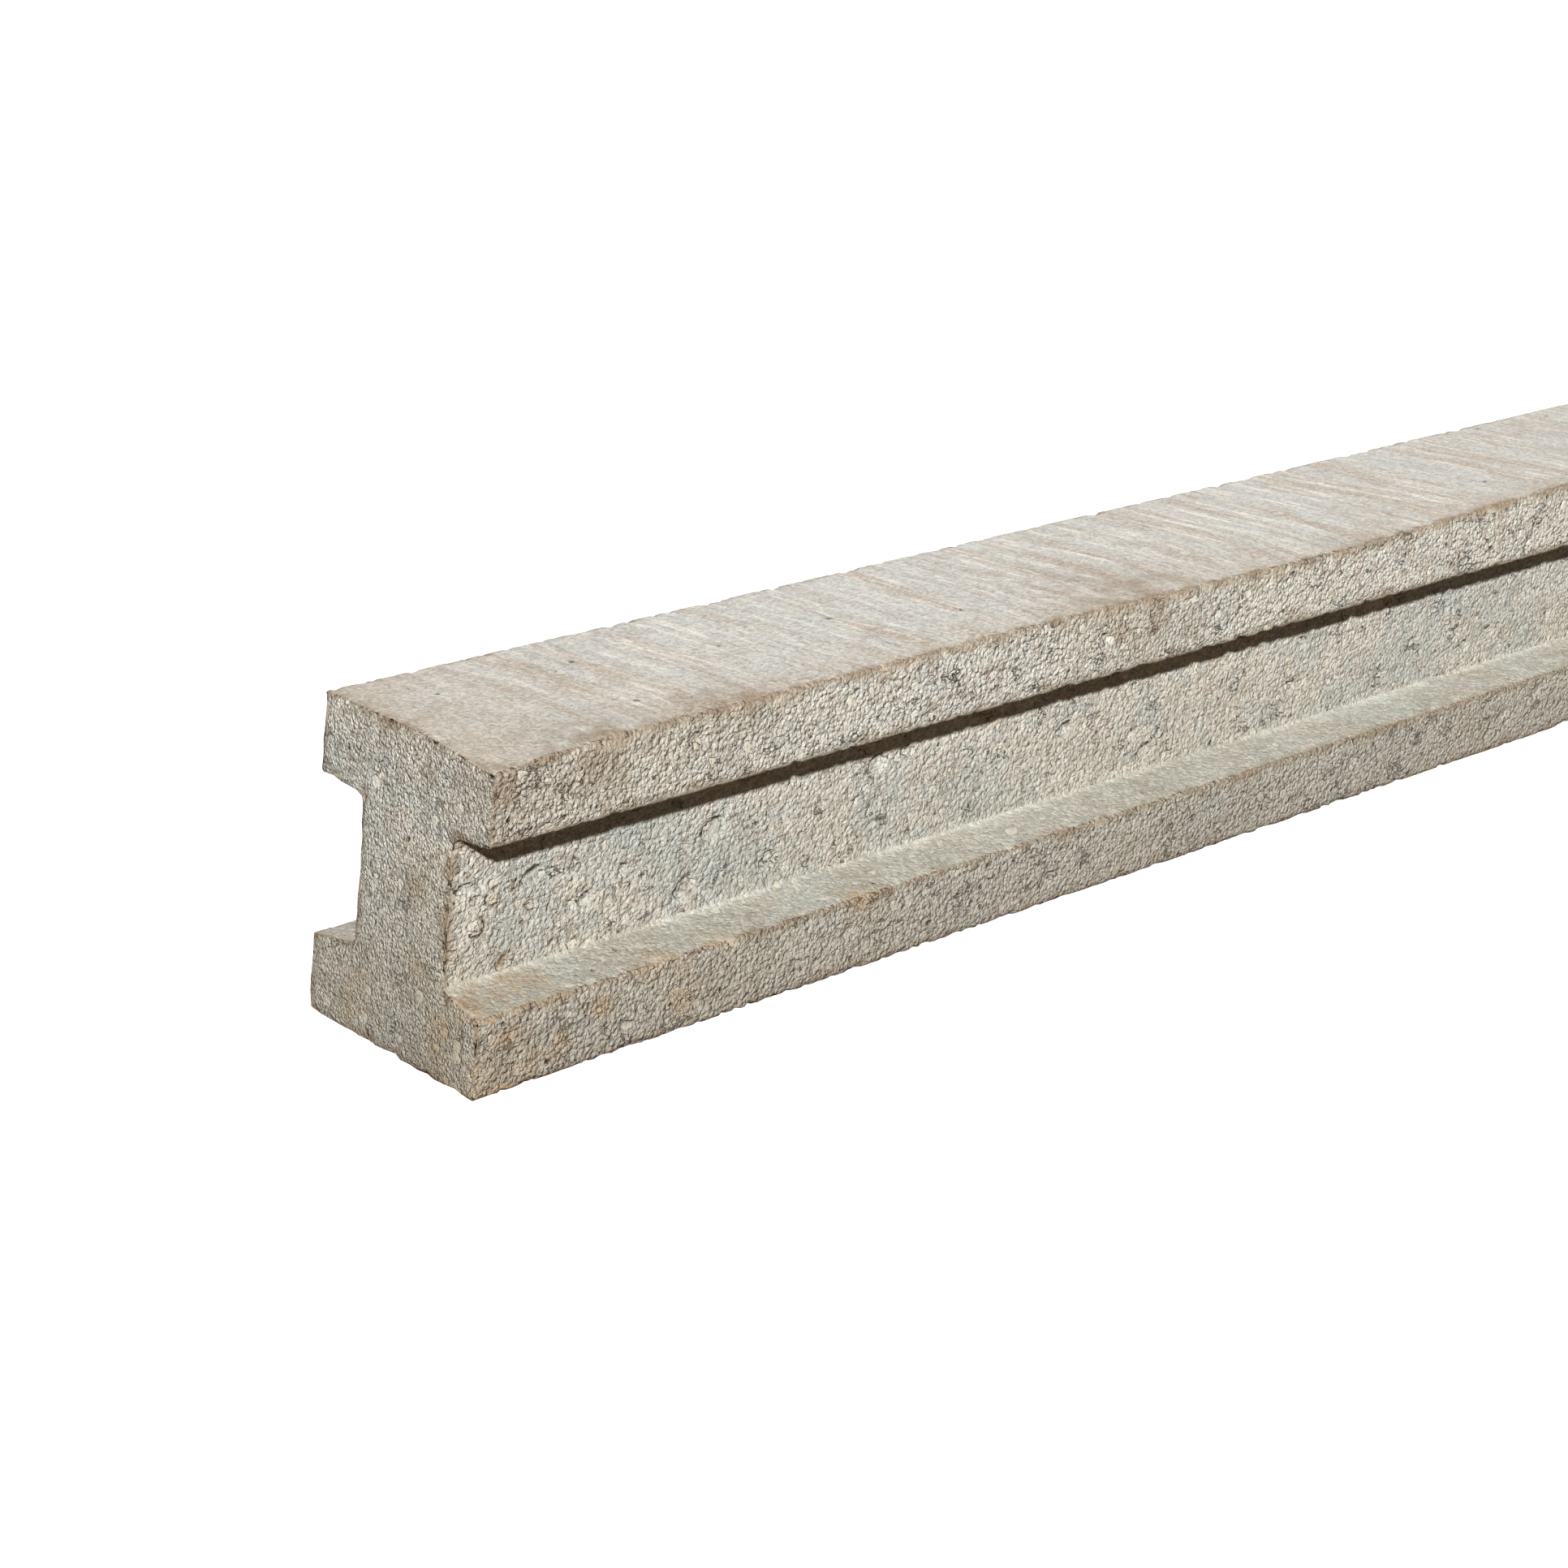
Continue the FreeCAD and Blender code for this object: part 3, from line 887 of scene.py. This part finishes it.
def group_cracks():
    """Short ragged cracks: the level lines of a flattened noise, kept only where a broader noise is high."""
    tree, given, result = new_group(
        "Short cracks", {"Vector": None, "Scale": 150.0, "Width": 0.026, "Keep": 0.56}, ("Crack",))
    flat = vector_maths(tree, "MULTIPLY", given["Vector"], (1.0, 1.0, 1.7))
    level = noise_node(tree, flat, given["Scale"], 4.0, 0.55)
    from_line = maths(tree, "ABSOLUTE", maths(tree, "SUBTRACT", level, 0.5))
    line = ramp(tree, from_line, 0.0, given["Width"], 1.0, 0.0)
    kept = noise_node(tree, given["Vector"], times(tree, given["Scale"], 0.62), 2.0)
    edge = maths(tree, "ADD", given["Keep"], 0.03)
    give(tree, result, Crack=times(tree, line, ramp(tree, kept, given["Keep"], edge)))


def group_ground_dirt():
    """Darkening towards the ground: 1 at the foot of the post and 0 at the given height, ragged by noise."""
    tree, given, result = new_group("Ground dirt", {"Vector": None, "Height": 0.1}, ("Dirt",))
    height = add(tree, "SeparateXYZ", {0: given["Vector"]}).outputs[2]
    ragged = maths(tree, "MULTIPLY_ADD", noise_node(tree, given["Vector"], 40.0, 3.0), 0.02, height)
    give(tree, result, Dirt=ramp(tree, ragged, 0.0, given["Height"], 1.0, 0.0))


def group_soil():
    """Soil in stains and rubbed into the edges, in patches on the edges and as a line on their very corner.

    Gives where soil lies, and where it is rusty: in stains near the ground.
    """
    tree, given, result = new_group(
        "Soil", {"Stain": 0.0, "Edge": 0.0, "Dirt": 0.0, "Patch": 0.5, "Fleck": 0.5, "Edge soil": 0.75},
        ("Soil", "Rust"))
    patch = ramp(tree, given["Patch"], 0.35, 0.62, 0.0, given["Edge soil"])
    soil = larger(tree, times(tree, given["Stain"], 0.85), times(tree, given["Edge"], patch))
    line = times(tree, ramp(tree, given["Edge"], 0.82, 1.0), ramp(tree, given["Fleck"], 0.35, 0.55))
    soil = larger(tree, soil, times(tree, line, given["Edge soil"]))
    rust = times(tree, ramp(tree, given["Fleck"], 0.42, 0.60), given["Dirt"])
    rust = times(tree, rust, ramp(tree, given["Stain"], 0.05, 0.30))
    give(tree, result, Soil=soil, Rust=rust)


# ---- materials -------------------------------------------------------------------------------

def start_material(name):
    """An empty material with its shader, and the Object coordinates."""
    material = bpy.data.materials.new(name)
    material.use_nodes = True
    tree = material.node_tree
    tree.nodes.clear()
    shader = add(tree, "BsdfPrincipled")
    output = tree.nodes.new("ShaderNodeOutputMaterial")
    tree.links.new(shader.outputs[0], output.inputs[0])
    vector = tree.nodes.new("ShaderNodeTexCoord").outputs["Object"]
    return material, tree, shader, vector


def mask_of(tree, name):
    """The value that the mesh holds under that name."""
    return add(tree, "Attribute", attribute_name=name).outputs["Fac"]


def place_effects(tree, vector, finish):
    """Every effect of one finish, placed in its material. floor, lip and splits are masks of that finish."""
    groups = SimpleNamespace(
        sand=place(tree, "Sand grain", Vector=vector, Scale=finish["sand_scale"],
                   Height=finish["sand_height"], Lumps=finish["lumps"]),
        crackle=place(tree, "Crackled paste", Vector=vector),
        pebbles=place(tree, "Pebbles", Vector=vector, Share=finish["pebble_share"]),
        big=place(tree, "Pebbles", Vector=vector, Scale=88.0, Share=0.9) if finish["big_pebbles"] else None,
        holes=place(tree, "Pinholes", Vector=vector, Scale=finish["hole_scale"], Share=finish["hole_share"]),
        smears=place(tree, "Trowel smears", Vector=vector, Angle=finish["smear_angle"],
                     Along=finish["smear_along"], Across=finish["smear_across"], Bend=finish["smear_bend"]),
        patches=place(tree, "Patches", Vector=vector, Scale=24.0),
        tints=place(tree, "Patches", Vector=vector, Scale=150.0),
        dirt=place(tree, "Ground dirt", Vector=vector, Height=0.115)["Dirt"])
    hollows = place(tree, "Broken hollows", Vector=vector, Hollow=mask_of(tree, "hollow"),
                    Overhang=mask_of(tree, "overhang"))
    cracks = place(tree, "Short cracks", Vector=vector, Keep=finish["crack_keep"])["Crack"]
    lip = place(tree, "Trowelled lip", Vector=vector, Top=DEPTH)["Lip"]
    groups.floor = times(tree, hollows["Floor"], finish["hollow"])
    groups.lip = times(tree, lip, finish["lip"])
    # splits: cracks, pinholes and the hollows' shadow crescents, sunk in the bump and painted darkest as
    # shade
    splits = larger(tree, times(tree, hollows["Gap"], finish["hollow"]), cracks)
    groups.splits = larger(tree, splits, times(tree, groups.holes["Mask"], 0.8))
    if groups.big:
        along = add(tree, "SeparateXYZ", {0: vector}).outputs[0]
        groups.by_end = ramp(tree, along, LOW.x + 0.025, LOW.x + 0.075, finish["big_pebbles"], 0.0)
    return groups


def paste_layers(tree, groups, tones, finish):
    """The paste's uneven colour: slurry, clay and rusty patches, smears, wear, flakes and hollow floors."""
    patches, tints, smears = groups.patches, groups.tints, groups.smears
    slurry, warm, smear = finish["slurry"], finish["warm"], finish["smear"]
    return [
        (ramp(tree, patches["Broad"], 0.36, 0.66, 0.0, slurry), tones.bluish),
        (ramp(tree, tints["Broad"], 0.52, 0.66, 0.0, slurry), tones.bluish),
        (ramp(tree, patches["Broad"], 0.32, 0.46, warm * 0.55, 0.0), tones.clay),
        (ramp(tree, tints["Broad"], 0.34, 0.48, warm, 0.0), tones.clay),
        (ramp(tree, tints["Middle"], 0.60, 0.72, 0.0, warm), tones.ochre),
        (ramp(tree, smears["Broad"], 0.45, 0.68, 0.0, smear), tones.clay),
        (ramp(tree, smears["Streak"], 0.50, 0.72, 0.0, smear), tones.pale),
        (ramp(tree, smears["Streak"], 0.26, 0.46, smear * 0.5, 0.0), tones.dark),
        (times(tree, mask_of(tree, "worn"), finish["worn"]), tones.clay),
        (ramp(tree, groups.crackle["Tone"], 0.0, 1.0, 0.0, finish["crackle"] * 0.22), tones.dark),
        (times(tree, groups.floor, 0.35), tones.bluish),
    ]


def stone_layers(tree, groups, tones, finish):
    """Pale and dark sand, partly painted light and shade of its relief, pebbles, and painted shade between
    them and in splits.
    """
    sand, pebbles, big = groups.sand, groups.pebbles, groups.big
    layers = [
        (ramp(tree, sand["Shade"], 0.52, 0.74, 0.0, finish["grain"]), tones.pale),
        (ramp(tree, sand["Shade"], 0.26, 0.46, finish["grain"], 0.0), tones.dark),
        (times(tree, pebbles["Mask"], finish["pebble_show"]),
         blend(tree, pebbles["Tone"], tones.pebble, tones.pale)),
    ]
    if big:
        layers += [
            (times(tree, big["Mask"], times(tree, groups.by_end, 0.6)),
             blend(tree, big["Tone"], tones.pale, tones.pebble)),
            # the ring round each big pebble near the end is painted shade in its groove, in the soil colour
            (times(tree, big["Groove"], groups.by_end), tones.soil),
        ]
    # painted shade: between sand grains, in the creases of the crackled paste and in the grooves round
    # pebbles
    gaps = times(tree, sand["Gap"], finish["gap"])
    gaps = larger(tree, gaps, times(tree, groups.crackle["Crease"], finish["crackle"] * 0.5))
    gaps = times(tree, gaps, maths(tree, "SUBTRACT", 1.0, pebbles["Mask"]))
    gaps = larger(tree, gaps, times(tree, pebbles["Groove"], 0.55))
    # the splits are painted darkest, as shade in cracks, holes and at hollows' rims
    return layers + [(gaps, tones.dark), (groups.splits, tones.darkest)]


def dirt_layers(tree, groups, tones, finish):
    """The pale fin, the lip's brown edge, darkening towards the foot, blotches, and soil with rust in it."""
    edge, stain = mask_of(tree, "edge"), mask_of(tree, "stain")
    soil = place(tree, "Soil", **{
        "Stain": stain, "Edge": edge, "Dirt": groups.dirt, "Patch": groups.patches["Middle"],
        "Fleck": groups.tints["Middle"], "Edge soil": finish["edge_soil"]})
    return [
        (times(tree, mask_of(tree, "fin"), 0.15), tones.pale),
        (groups.lip, tones.clay),
        # darker towards the foot of the post
        (times(tree, groups.dirt, finish["dirt"]), tones.dark),
        (ramp(tree, groups.patches["Middle"], 0.52, 0.70, 0.0, finish["blotch"]), tones.dark),
        (soil["Soil"], blend(tree, soil["Rust"], tones.soil, tones.ochre)),
    ]


def concrete_height(tree, groups, finish):
    """The height of every effect added up, in metres, with less sand where something covers it."""
    pebbles, big, smears = groups.pebbles, groups.big, groups.smears
    covered = larger(tree, larger(tree, pebbles["Mask"], times(tree, groups.floor, 0.6)), groups.lip)
    height = times(tree, groups.sand["Height"], maths(tree, "MULTIPLY_ADD", covered, -0.7, 1.0))
    parts = [
        (groups.crackle["Crease"], -finish["crease_depth"]),
        (groups.crackle["Tone"], finish["crease_depth"] * 0.5),
        (pebbles["Dome"], finish["pebble_height"]),
        (pebbles["Groove"], -finish["pebble_height"] * 0.6),
        (groups.floor, -finish["hollow_depth"]),
        (groups.holes["Depth"], -finish["hole_depth"]),
        (groups.splits, -finish["crack_depth"]),
        (groups.lip, 0.0008),
        (smears["Streak"], finish["smear_height"]),
        (smears["Drag"], finish["smear_height"] * 0.5),
    ]
    if big:
        big_dome = times(tree, maths(tree, "SUBTRACT", big["Dome"], big["Groove"]), groups.by_end)
        parts.append((big_dome, 0.0007))
    for value, metres in parts:
        height = maths(tree, "MULTIPLY_ADD", value, metres, height)
    return height


def concrete(name, tones, base, finish):
    """One finish of the casting: layers of colour over a base colour, and their heights as a bump.

    finish gives the share or the height of each effect. Heights are in metres, so that the bump has
    its real depth.
    """
    material, tree, shader, vector = start_material(name)
    groups = place_effects(tree, vector, finish)
    colour = base
    for layers in (paste_layers, stone_layers, dirt_layers):
        for share, tone in layers(tree, groups, tones, finish):
            colour = blend(tree, share, colour, tone)
    tree.links.new(colour, shader.inputs["Base Color"])
    bump_into(tree, shader, concrete_height(tree, groups, finish))
    rough = ramp(tree, groups.sand["Shade"], 0.3, 0.7, 0.95, finish["roughness"])
    tree.links.new(rough, shader.inputs["Roughness"])
    shader.inputs["Specular IOR Level"].default_value = 0.25
    return material


# what each effect does in a finish: shares from 0 to 1, heights and depths in metres, scales per metre
ROUGH = {
    "sand_scale": 660.0, "sand_height": 0.0016, "lumps": 0.45, "grain": 0.34, "gap": 0.26,
    "slurry": 0.50, "warm": 0.60, "worn": 0.65, "crackle": 0.35, "crease_depth": 0.00014,
    "pebble_share": 0.30, "pebble_show": 0.35, "pebble_height": 0.0003, "big_pebbles": 0.0,
    "hollow": 0.45, "hollow_depth": 0.0004, "lip": 0.5,
    "hole_scale": 240.0, "hole_share": 0.10, "hole_depth": 0.0006,
    "crack_keep": 0.585, "crack_depth": 0.0007,
    "smear": 0.0, "smear_angle": 0.0, "smear_along": 30.0, "smear_across": 300.0, "smear_bend": 0.004,
    "smear_height": 0.0, "dirt": 0.56, "blotch": 0.16, "edge_soil": 0.75, "roughness": 0.86,
}
SMOOTH = dict(
    ROUGH, sand_scale=850.0, sand_height=0.00045, lumps=0.4, grain=0.28, gap=0.15, crackle=0.0,
    crease_depth=0.0, pebble_share=0.03, pebble_height=0.0001, hollow=0.0, lip=0.0, hole_share=0.02,
    hole_depth=0.0003, crack_keep=0.72, slurry=0.35, dirt=0.0, blotch=0.10, roughness=0.72)
FINISHES = {
    TOP: dict(SMOOTH, smear=0.90, smear_angle=math.radians(86.0), smear_along=26.0, smear_across=330.0,
              smear_bend=0.008, smear_height=0.00060, warm=0.40, worn=0.95, edge_soil=0.6),
    SIDE: ROUGH,
    WEB: dict(ROUGH, sand_scale=640.0, sand_height=0.0013, grain=0.30, gap=0.18, crackle=0.50,
              crease_depth=0.00022, pebble_share=0.75, pebble_show=0.50, pebble_height=0.00045,
              hollow=1.0, hollow_depth=0.0009, lip=0.0, big_pebbles=1.0, crack_keep=0.605, slurry=0.90,
              warm=0.40, dirt=0.42, blotch=0.10),
    SHELF: dict(SMOOTH, smear=0.36, smear_angle=math.radians(28.0), smear_along=34.0, smear_across=560.0,
                smear_bend=0.014, smear_height=0.00026, warm=0.2, edge_soil=0.55),
    END: dict(ROUGH, sand_scale=900.0, sand_height=0.0015, lumps=0.3, grain=0.62, gap=0.4, crackle=0.15,
              crease_depth=0.00003, hollow=0.3, lip=0.0, pebble_share=0.35, pebble_height=0.0002,
              slurry=0.95, warm=0.50, worn=0.25, dirt=0.52, blotch=0.45, crack_keep=0.62, edge_soil=0.9),
}
# each finish's material, and the colour that it starts from
FINISH_NAMES = {TOP: ("trowelled_top", "laitance"), SIDE: ("granular_side", "paste"),
                WEB: ("pebbly_web", "paste"), SHELF: ("smeared_shelf", "smeared"), END: ("cast_end", "cut")}

RUST = (0.23, 0.09, 0.04, 1.0)
CEMENT_DUST = (0.42, 0.40, 0.36, 1.0)


def steel_material(name, colour, scale):
    """Drawn steel under thin rust: rust spreads in patches and roughens the surface."""
    material, tree, shader, vector = start_material(name)
    patches = place(tree, "Patches", Vector=vector, Scale=scale)
    sand = place(tree, "Sand grain", Vector=vector, Scale=1500.0, Height=0.00006)
    rusted = ramp(tree, patches["Middle"], 0.38, 0.62)
    tree.links.new(blend(tree, rusted, rgba(colour), RUST), shader.inputs["Base Color"])
    tree.links.new(maths(tree, "SUBTRACT", 1.0, rusted), shader.inputs["Metallic"])
    tree.links.new(ramp(tree, rusted, 0.0, 1.0, 0.38, 0.85), shader.inputs["Roughness"])
    bump_into(tree, shader, sand["Height"], 0.7)
    return material


def plastic_material(name, colour):
    """Moulded plastic with a fine grain and a film of cement dust."""
    material, tree, shader, vector = start_material(name)
    patches = place(tree, "Patches", Vector=vector, Scale=90.0)
    sand = place(tree, "Sand grain", Vector=vector, Scale=2600.0, Height=0.00002)
    dust = ramp(tree, patches["Broad"], 0.45, 0.75, 0.0, 0.5)
    tree.links.new(blend(tree, dust, rgba(colour), CEMENT_DUST), shader.inputs["Base Color"])
    tree.links.new(ramp(tree, sand["Shade"], 0.3, 0.7, 0.45, 0.65), shader.inputs["Roughness"])
    bump_into(tree, shader, sand["Height"])
    return material


def dress(prefix, material):
    """Gives a material to every CAD node whose name starts with the prefix."""
    found = [item for name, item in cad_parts.items() if name.startswith(prefix)]
    if not found:
        raise RuntimeError(f"no node starts with {prefix}")
    for item in found:
        item.data.materials.clear()
        item.data.materials.append(material)


# ---- stage -----------------------------------------------------------------------------------

FLOOR_RADIUS, FLOOR_SIDES = 14.0, 96
FLOOR_GLOW = 0.35
FLOOR_DULL = (0.135, 0.088, 0.060, 1.0)
SURROUND_DIM = (1.0, 0.66, 0.46, 1.0)
WHITE = (1.0, 1.0, 1.0, 1.0)

# the way that each sun shines, and how wide it is in degrees
KEY_WAY, KEY_SPREAD = (0.85, 1.0, -0.77), 2.4
BACK_WAY, BACK_SPREAD = (-0.90, -1.0, -0.18), 30.0
OVERHEAD_HEIGHT, OVERHEAD_WIDTH = 1.9, 1.6


def link_in(scene, name, data):
    """An object for the data, linked into the scene."""
    item = bpy.data.objects.new(name, data)
    scene.collection.objects.link(item)
    return item


def camera_switch(tree, unseen, seen, output):
    """Puts one shader out to the camera and another to everything else."""
    by_camera = tree.nodes.new("ShaderNodeLightPath").outputs["Is Camera Ray"]
    mix = add(tree, "MixShader", {0: by_camera, 1: unseen.outputs[0], 2: seen.outputs[0]})
    tree.links.new(mix.outputs[0], output.inputs[0])


def build_floor(scene, settings):
    """A wide flat disc, which is pale to the camera and dull brown to the light that bounces off it."""
    turn = np.linspace(0.0, 2.0 * math.pi, FLOOR_SIDES + 1)[:-1]
    ring = np.stack([np.cos(turn), np.sin(turn), np.zeros(FLOOR_SIDES)], axis=1) * FLOOR_RADIUS
    mesh = bpy.data.meshes.new("floor")
    mesh.from_pydata(ring.tolist(), [], [list(range(FLOOR_SIDES))])
    material, tree, shader, _ = start_material("floor_paint")
    shader.inputs["Roughness"].default_value = 1.0
    shader.inputs["Specular IOR Level"].default_value = 0.0
    shader.inputs["Base Color"].default_value = rgba(settings.floor_shade)
    shader.inputs["Emission Color"].default_value = WHITE
    shader.inputs["Emission Strength"].default_value = FLOOR_GLOW
    dull = add(tree, "BsdfDiffuse", {"Color": FLOOR_DULL})
    output = next(node for node in tree.nodes if node.bl_idname == "ShaderNodeOutputMaterial")
    camera_switch(tree, dull, shader, output)
    mesh.materials.append(material)
    link_in(scene, "floor", mesh)


def add_sun(scene, name, strength, spread, way):
    """A distant light that shines along a direction."""
    light = bpy.data.lights.new(name, "SUN")
    light.energy = strength
    light.angle = math.radians(spread)
    item = link_in(scene, name, light)
    item.rotation_euler = Vector(way).to_track_quat("-Z", "Y").to_euler()


def build_lights(scene, settings):
    """A key light over the camera, a low soft light from the far left, and a soft light overhead.

    The surround is white to the camera, and dim and warm as a light.
    """
    add_sun(scene, "key", settings.key, KEY_SPREAD, KEY_WAY)
    add_sun(scene, "back", settings.back, BACK_SPREAD, BACK_WAY)
    soft = bpy.data.lights.new("overhead", "AREA")
    soft.shape = "RECTANGLE"
    soft.size, soft.size_y = LENGTH * 1.4, OVERHEAD_WIDTH
    soft.energy = settings.overhead
    soft_item = link_in(scene, "overhead", soft)
    soft_item.location = (0.0, 0.0, OVERHEAD_HEIGHT)
    soft_item.visible_camera = False
    world = bpy.data.worlds.new("surround")
    world.use_nodes = True
    tree = world.node_tree
    dim = tree.nodes["Background"]
    dim.inputs["Color"].default_value = SURROUND_DIM
    dim.inputs["Strength"].default_value = settings.fill
    white = add(tree, "Background", {"Color": WHITE, "Strength": 1.0})
    camera_switch(tree, dim, white, tree.nodes["World Output"])
    scene.world = world
    scene.view_settings.view_transform = "Standard"


def build_camera(scene, settings):
    """A camera that looks along the post from above its near end, rolled a little."""
    camera = bpy.data.cameras.new("camera")
    camera.lens = settings.lens
    camera.sensor_width = 36.0
    camera.clip_start = 0.02
    heading, pitch = settings.heading, settings.pitch
    forward = Vector((math.cos(heading) * math.cos(pitch), math.sin(heading) * math.cos(pitch),
                      -math.sin(pitch)))
    target = Vector((LOW.x + settings.aim_along, LOW.y, settings.aim_height))
    turn = forward.to_track_quat("-Z", "Y").to_matrix() @ Matrix.Rotation(settings.roll, 3, "Z")
    item = link_in(scene, "camera", camera)
    item.matrix_world = Matrix.Translation(target - forward * settings.distance) @ turn.to_4x4()
    scene.camera = item


# ---- operators -------------------------------------------------------------------------------

class POST_OT_shader_groups(bpy.types.Operator):
    """Builds the node groups that the materials share."""
    bl_idname = "post.shader_groups"
    bl_label = "Shared surface effects"

    def execute(self, context):
        for build in (group_sand, group_crackle, group_pebbles, group_hollows, group_lip, group_pinholes,
                      group_smears, group_patches, group_cracks, group_ground_dirt, group_soil):
            build()
        return {"FINISHED"}


class POST_OT_casting(bpy.types.Operator):
    """Builds the casting's rough skin, with a finish for each kind of face."""
    bl_idname = "post.casting"
    bl_label = "Concrete casting"

    def execute(self, context):
        scene = context.scene
        skin = build_skin(scene.post_section, scene.post_relief)
        names = ConcreteColours.__annotations__
        tones = SimpleNamespace(**{name: rgba(getattr(scene.post_colours, name)) for name in names})
        # the darkest tone paints the shade in splits
        tones.darkest = rgba(channel * 0.35 for channel in scene.post_colours.dark)
        for face, (name, base) in FINISH_NAMES.items():
            skin.data.materials.append(concrete(name, tones, getattr(tones, base), FINISHES[face]))
        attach(skin, "root")
        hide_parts(CASTING)
        return {"FINISHED"}


class POST_OT_cage(bpy.types.Operator):
    """Gives the long bars, the links and the plastic chairs their finishes."""
    bl_idname = "post.cage"
    bl_label = "Cage inside the casting"

    def execute(self, context):
        bars = steel_material("rusted_bar", (0.42, 0.40, 0.38), 60.0)
        links = steel_material("drawn_wire", (0.50, 0.48, 0.46), 35.0)
        dress("bar_lower", bars)
        dress("bar_upper", bars)
        dress("link_", links)
        dress("bar_chair", plastic_material("chair_plastic", (0.05, 0.05, 0.055)))
        return {"FINISHED"}


class POST_OT_stage(bpy.types.Operator):
    """Sets up the pale floor, the lights and the camera."""
    bl_idname = "post.stage"
    bl_label = "Stage"

    def execute(self, context):
        scene = context.scene
        for build in (build_floor, build_lights, build_camera):
            build(scene, scene.post_stage)
        return {"FINISHED"}


class POST_PT_panel(bpy.types.Panel):
    """The post's settings and the operators that build it."""
    bl_idname = "POST_PT_panel"
    bl_label = "Slotted concrete post"
    bl_space_type = "VIEW_3D"
    bl_region_type = "UI"
    bl_category = "Post"

    def draw(self, context):
        for group in ("post_section", "post_relief", "post_colours", "post_stage"):
            settings = getattr(context.scene, group)
            box = self.layout.box()
            for name in settings.__annotations__:
                box.prop(settings, name)
        for operator in OPERATORS:
            self.layout.operator(operator.bl_idname)


SETTINGS = {"post_section": SectionSizes, "post_relief": ReliefSizes, "post_colours": ConcreteColours,
            "post_stage": StageSettings}
OPERATORS = (POST_OT_shader_groups, POST_OT_casting, POST_OT_cage, POST_OT_stage)


def register():
    for cls in (*SETTINGS.values(), *OPERATORS, POST_PT_panel):
        bpy.utils.register_class(cls)
    for name, cls in SETTINGS.items():
        setattr(bpy.types.Scene, name, PointerProperty(type=cls))


def unregister():
    for name in SETTINGS:
        delattr(bpy.types.Scene, name)
    for cls in reversed((*SETTINGS.values(), *OPERATORS, POST_PT_panel)):
        bpy.utils.unregister_class(cls)


def main():
    register()
    bpy.ops.post.shader_groups()
    bpy.ops.post.casting()
    bpy.ops.post.cage()
    bpy.ops.post.stage()


if __name__ == "__main__":
    main()
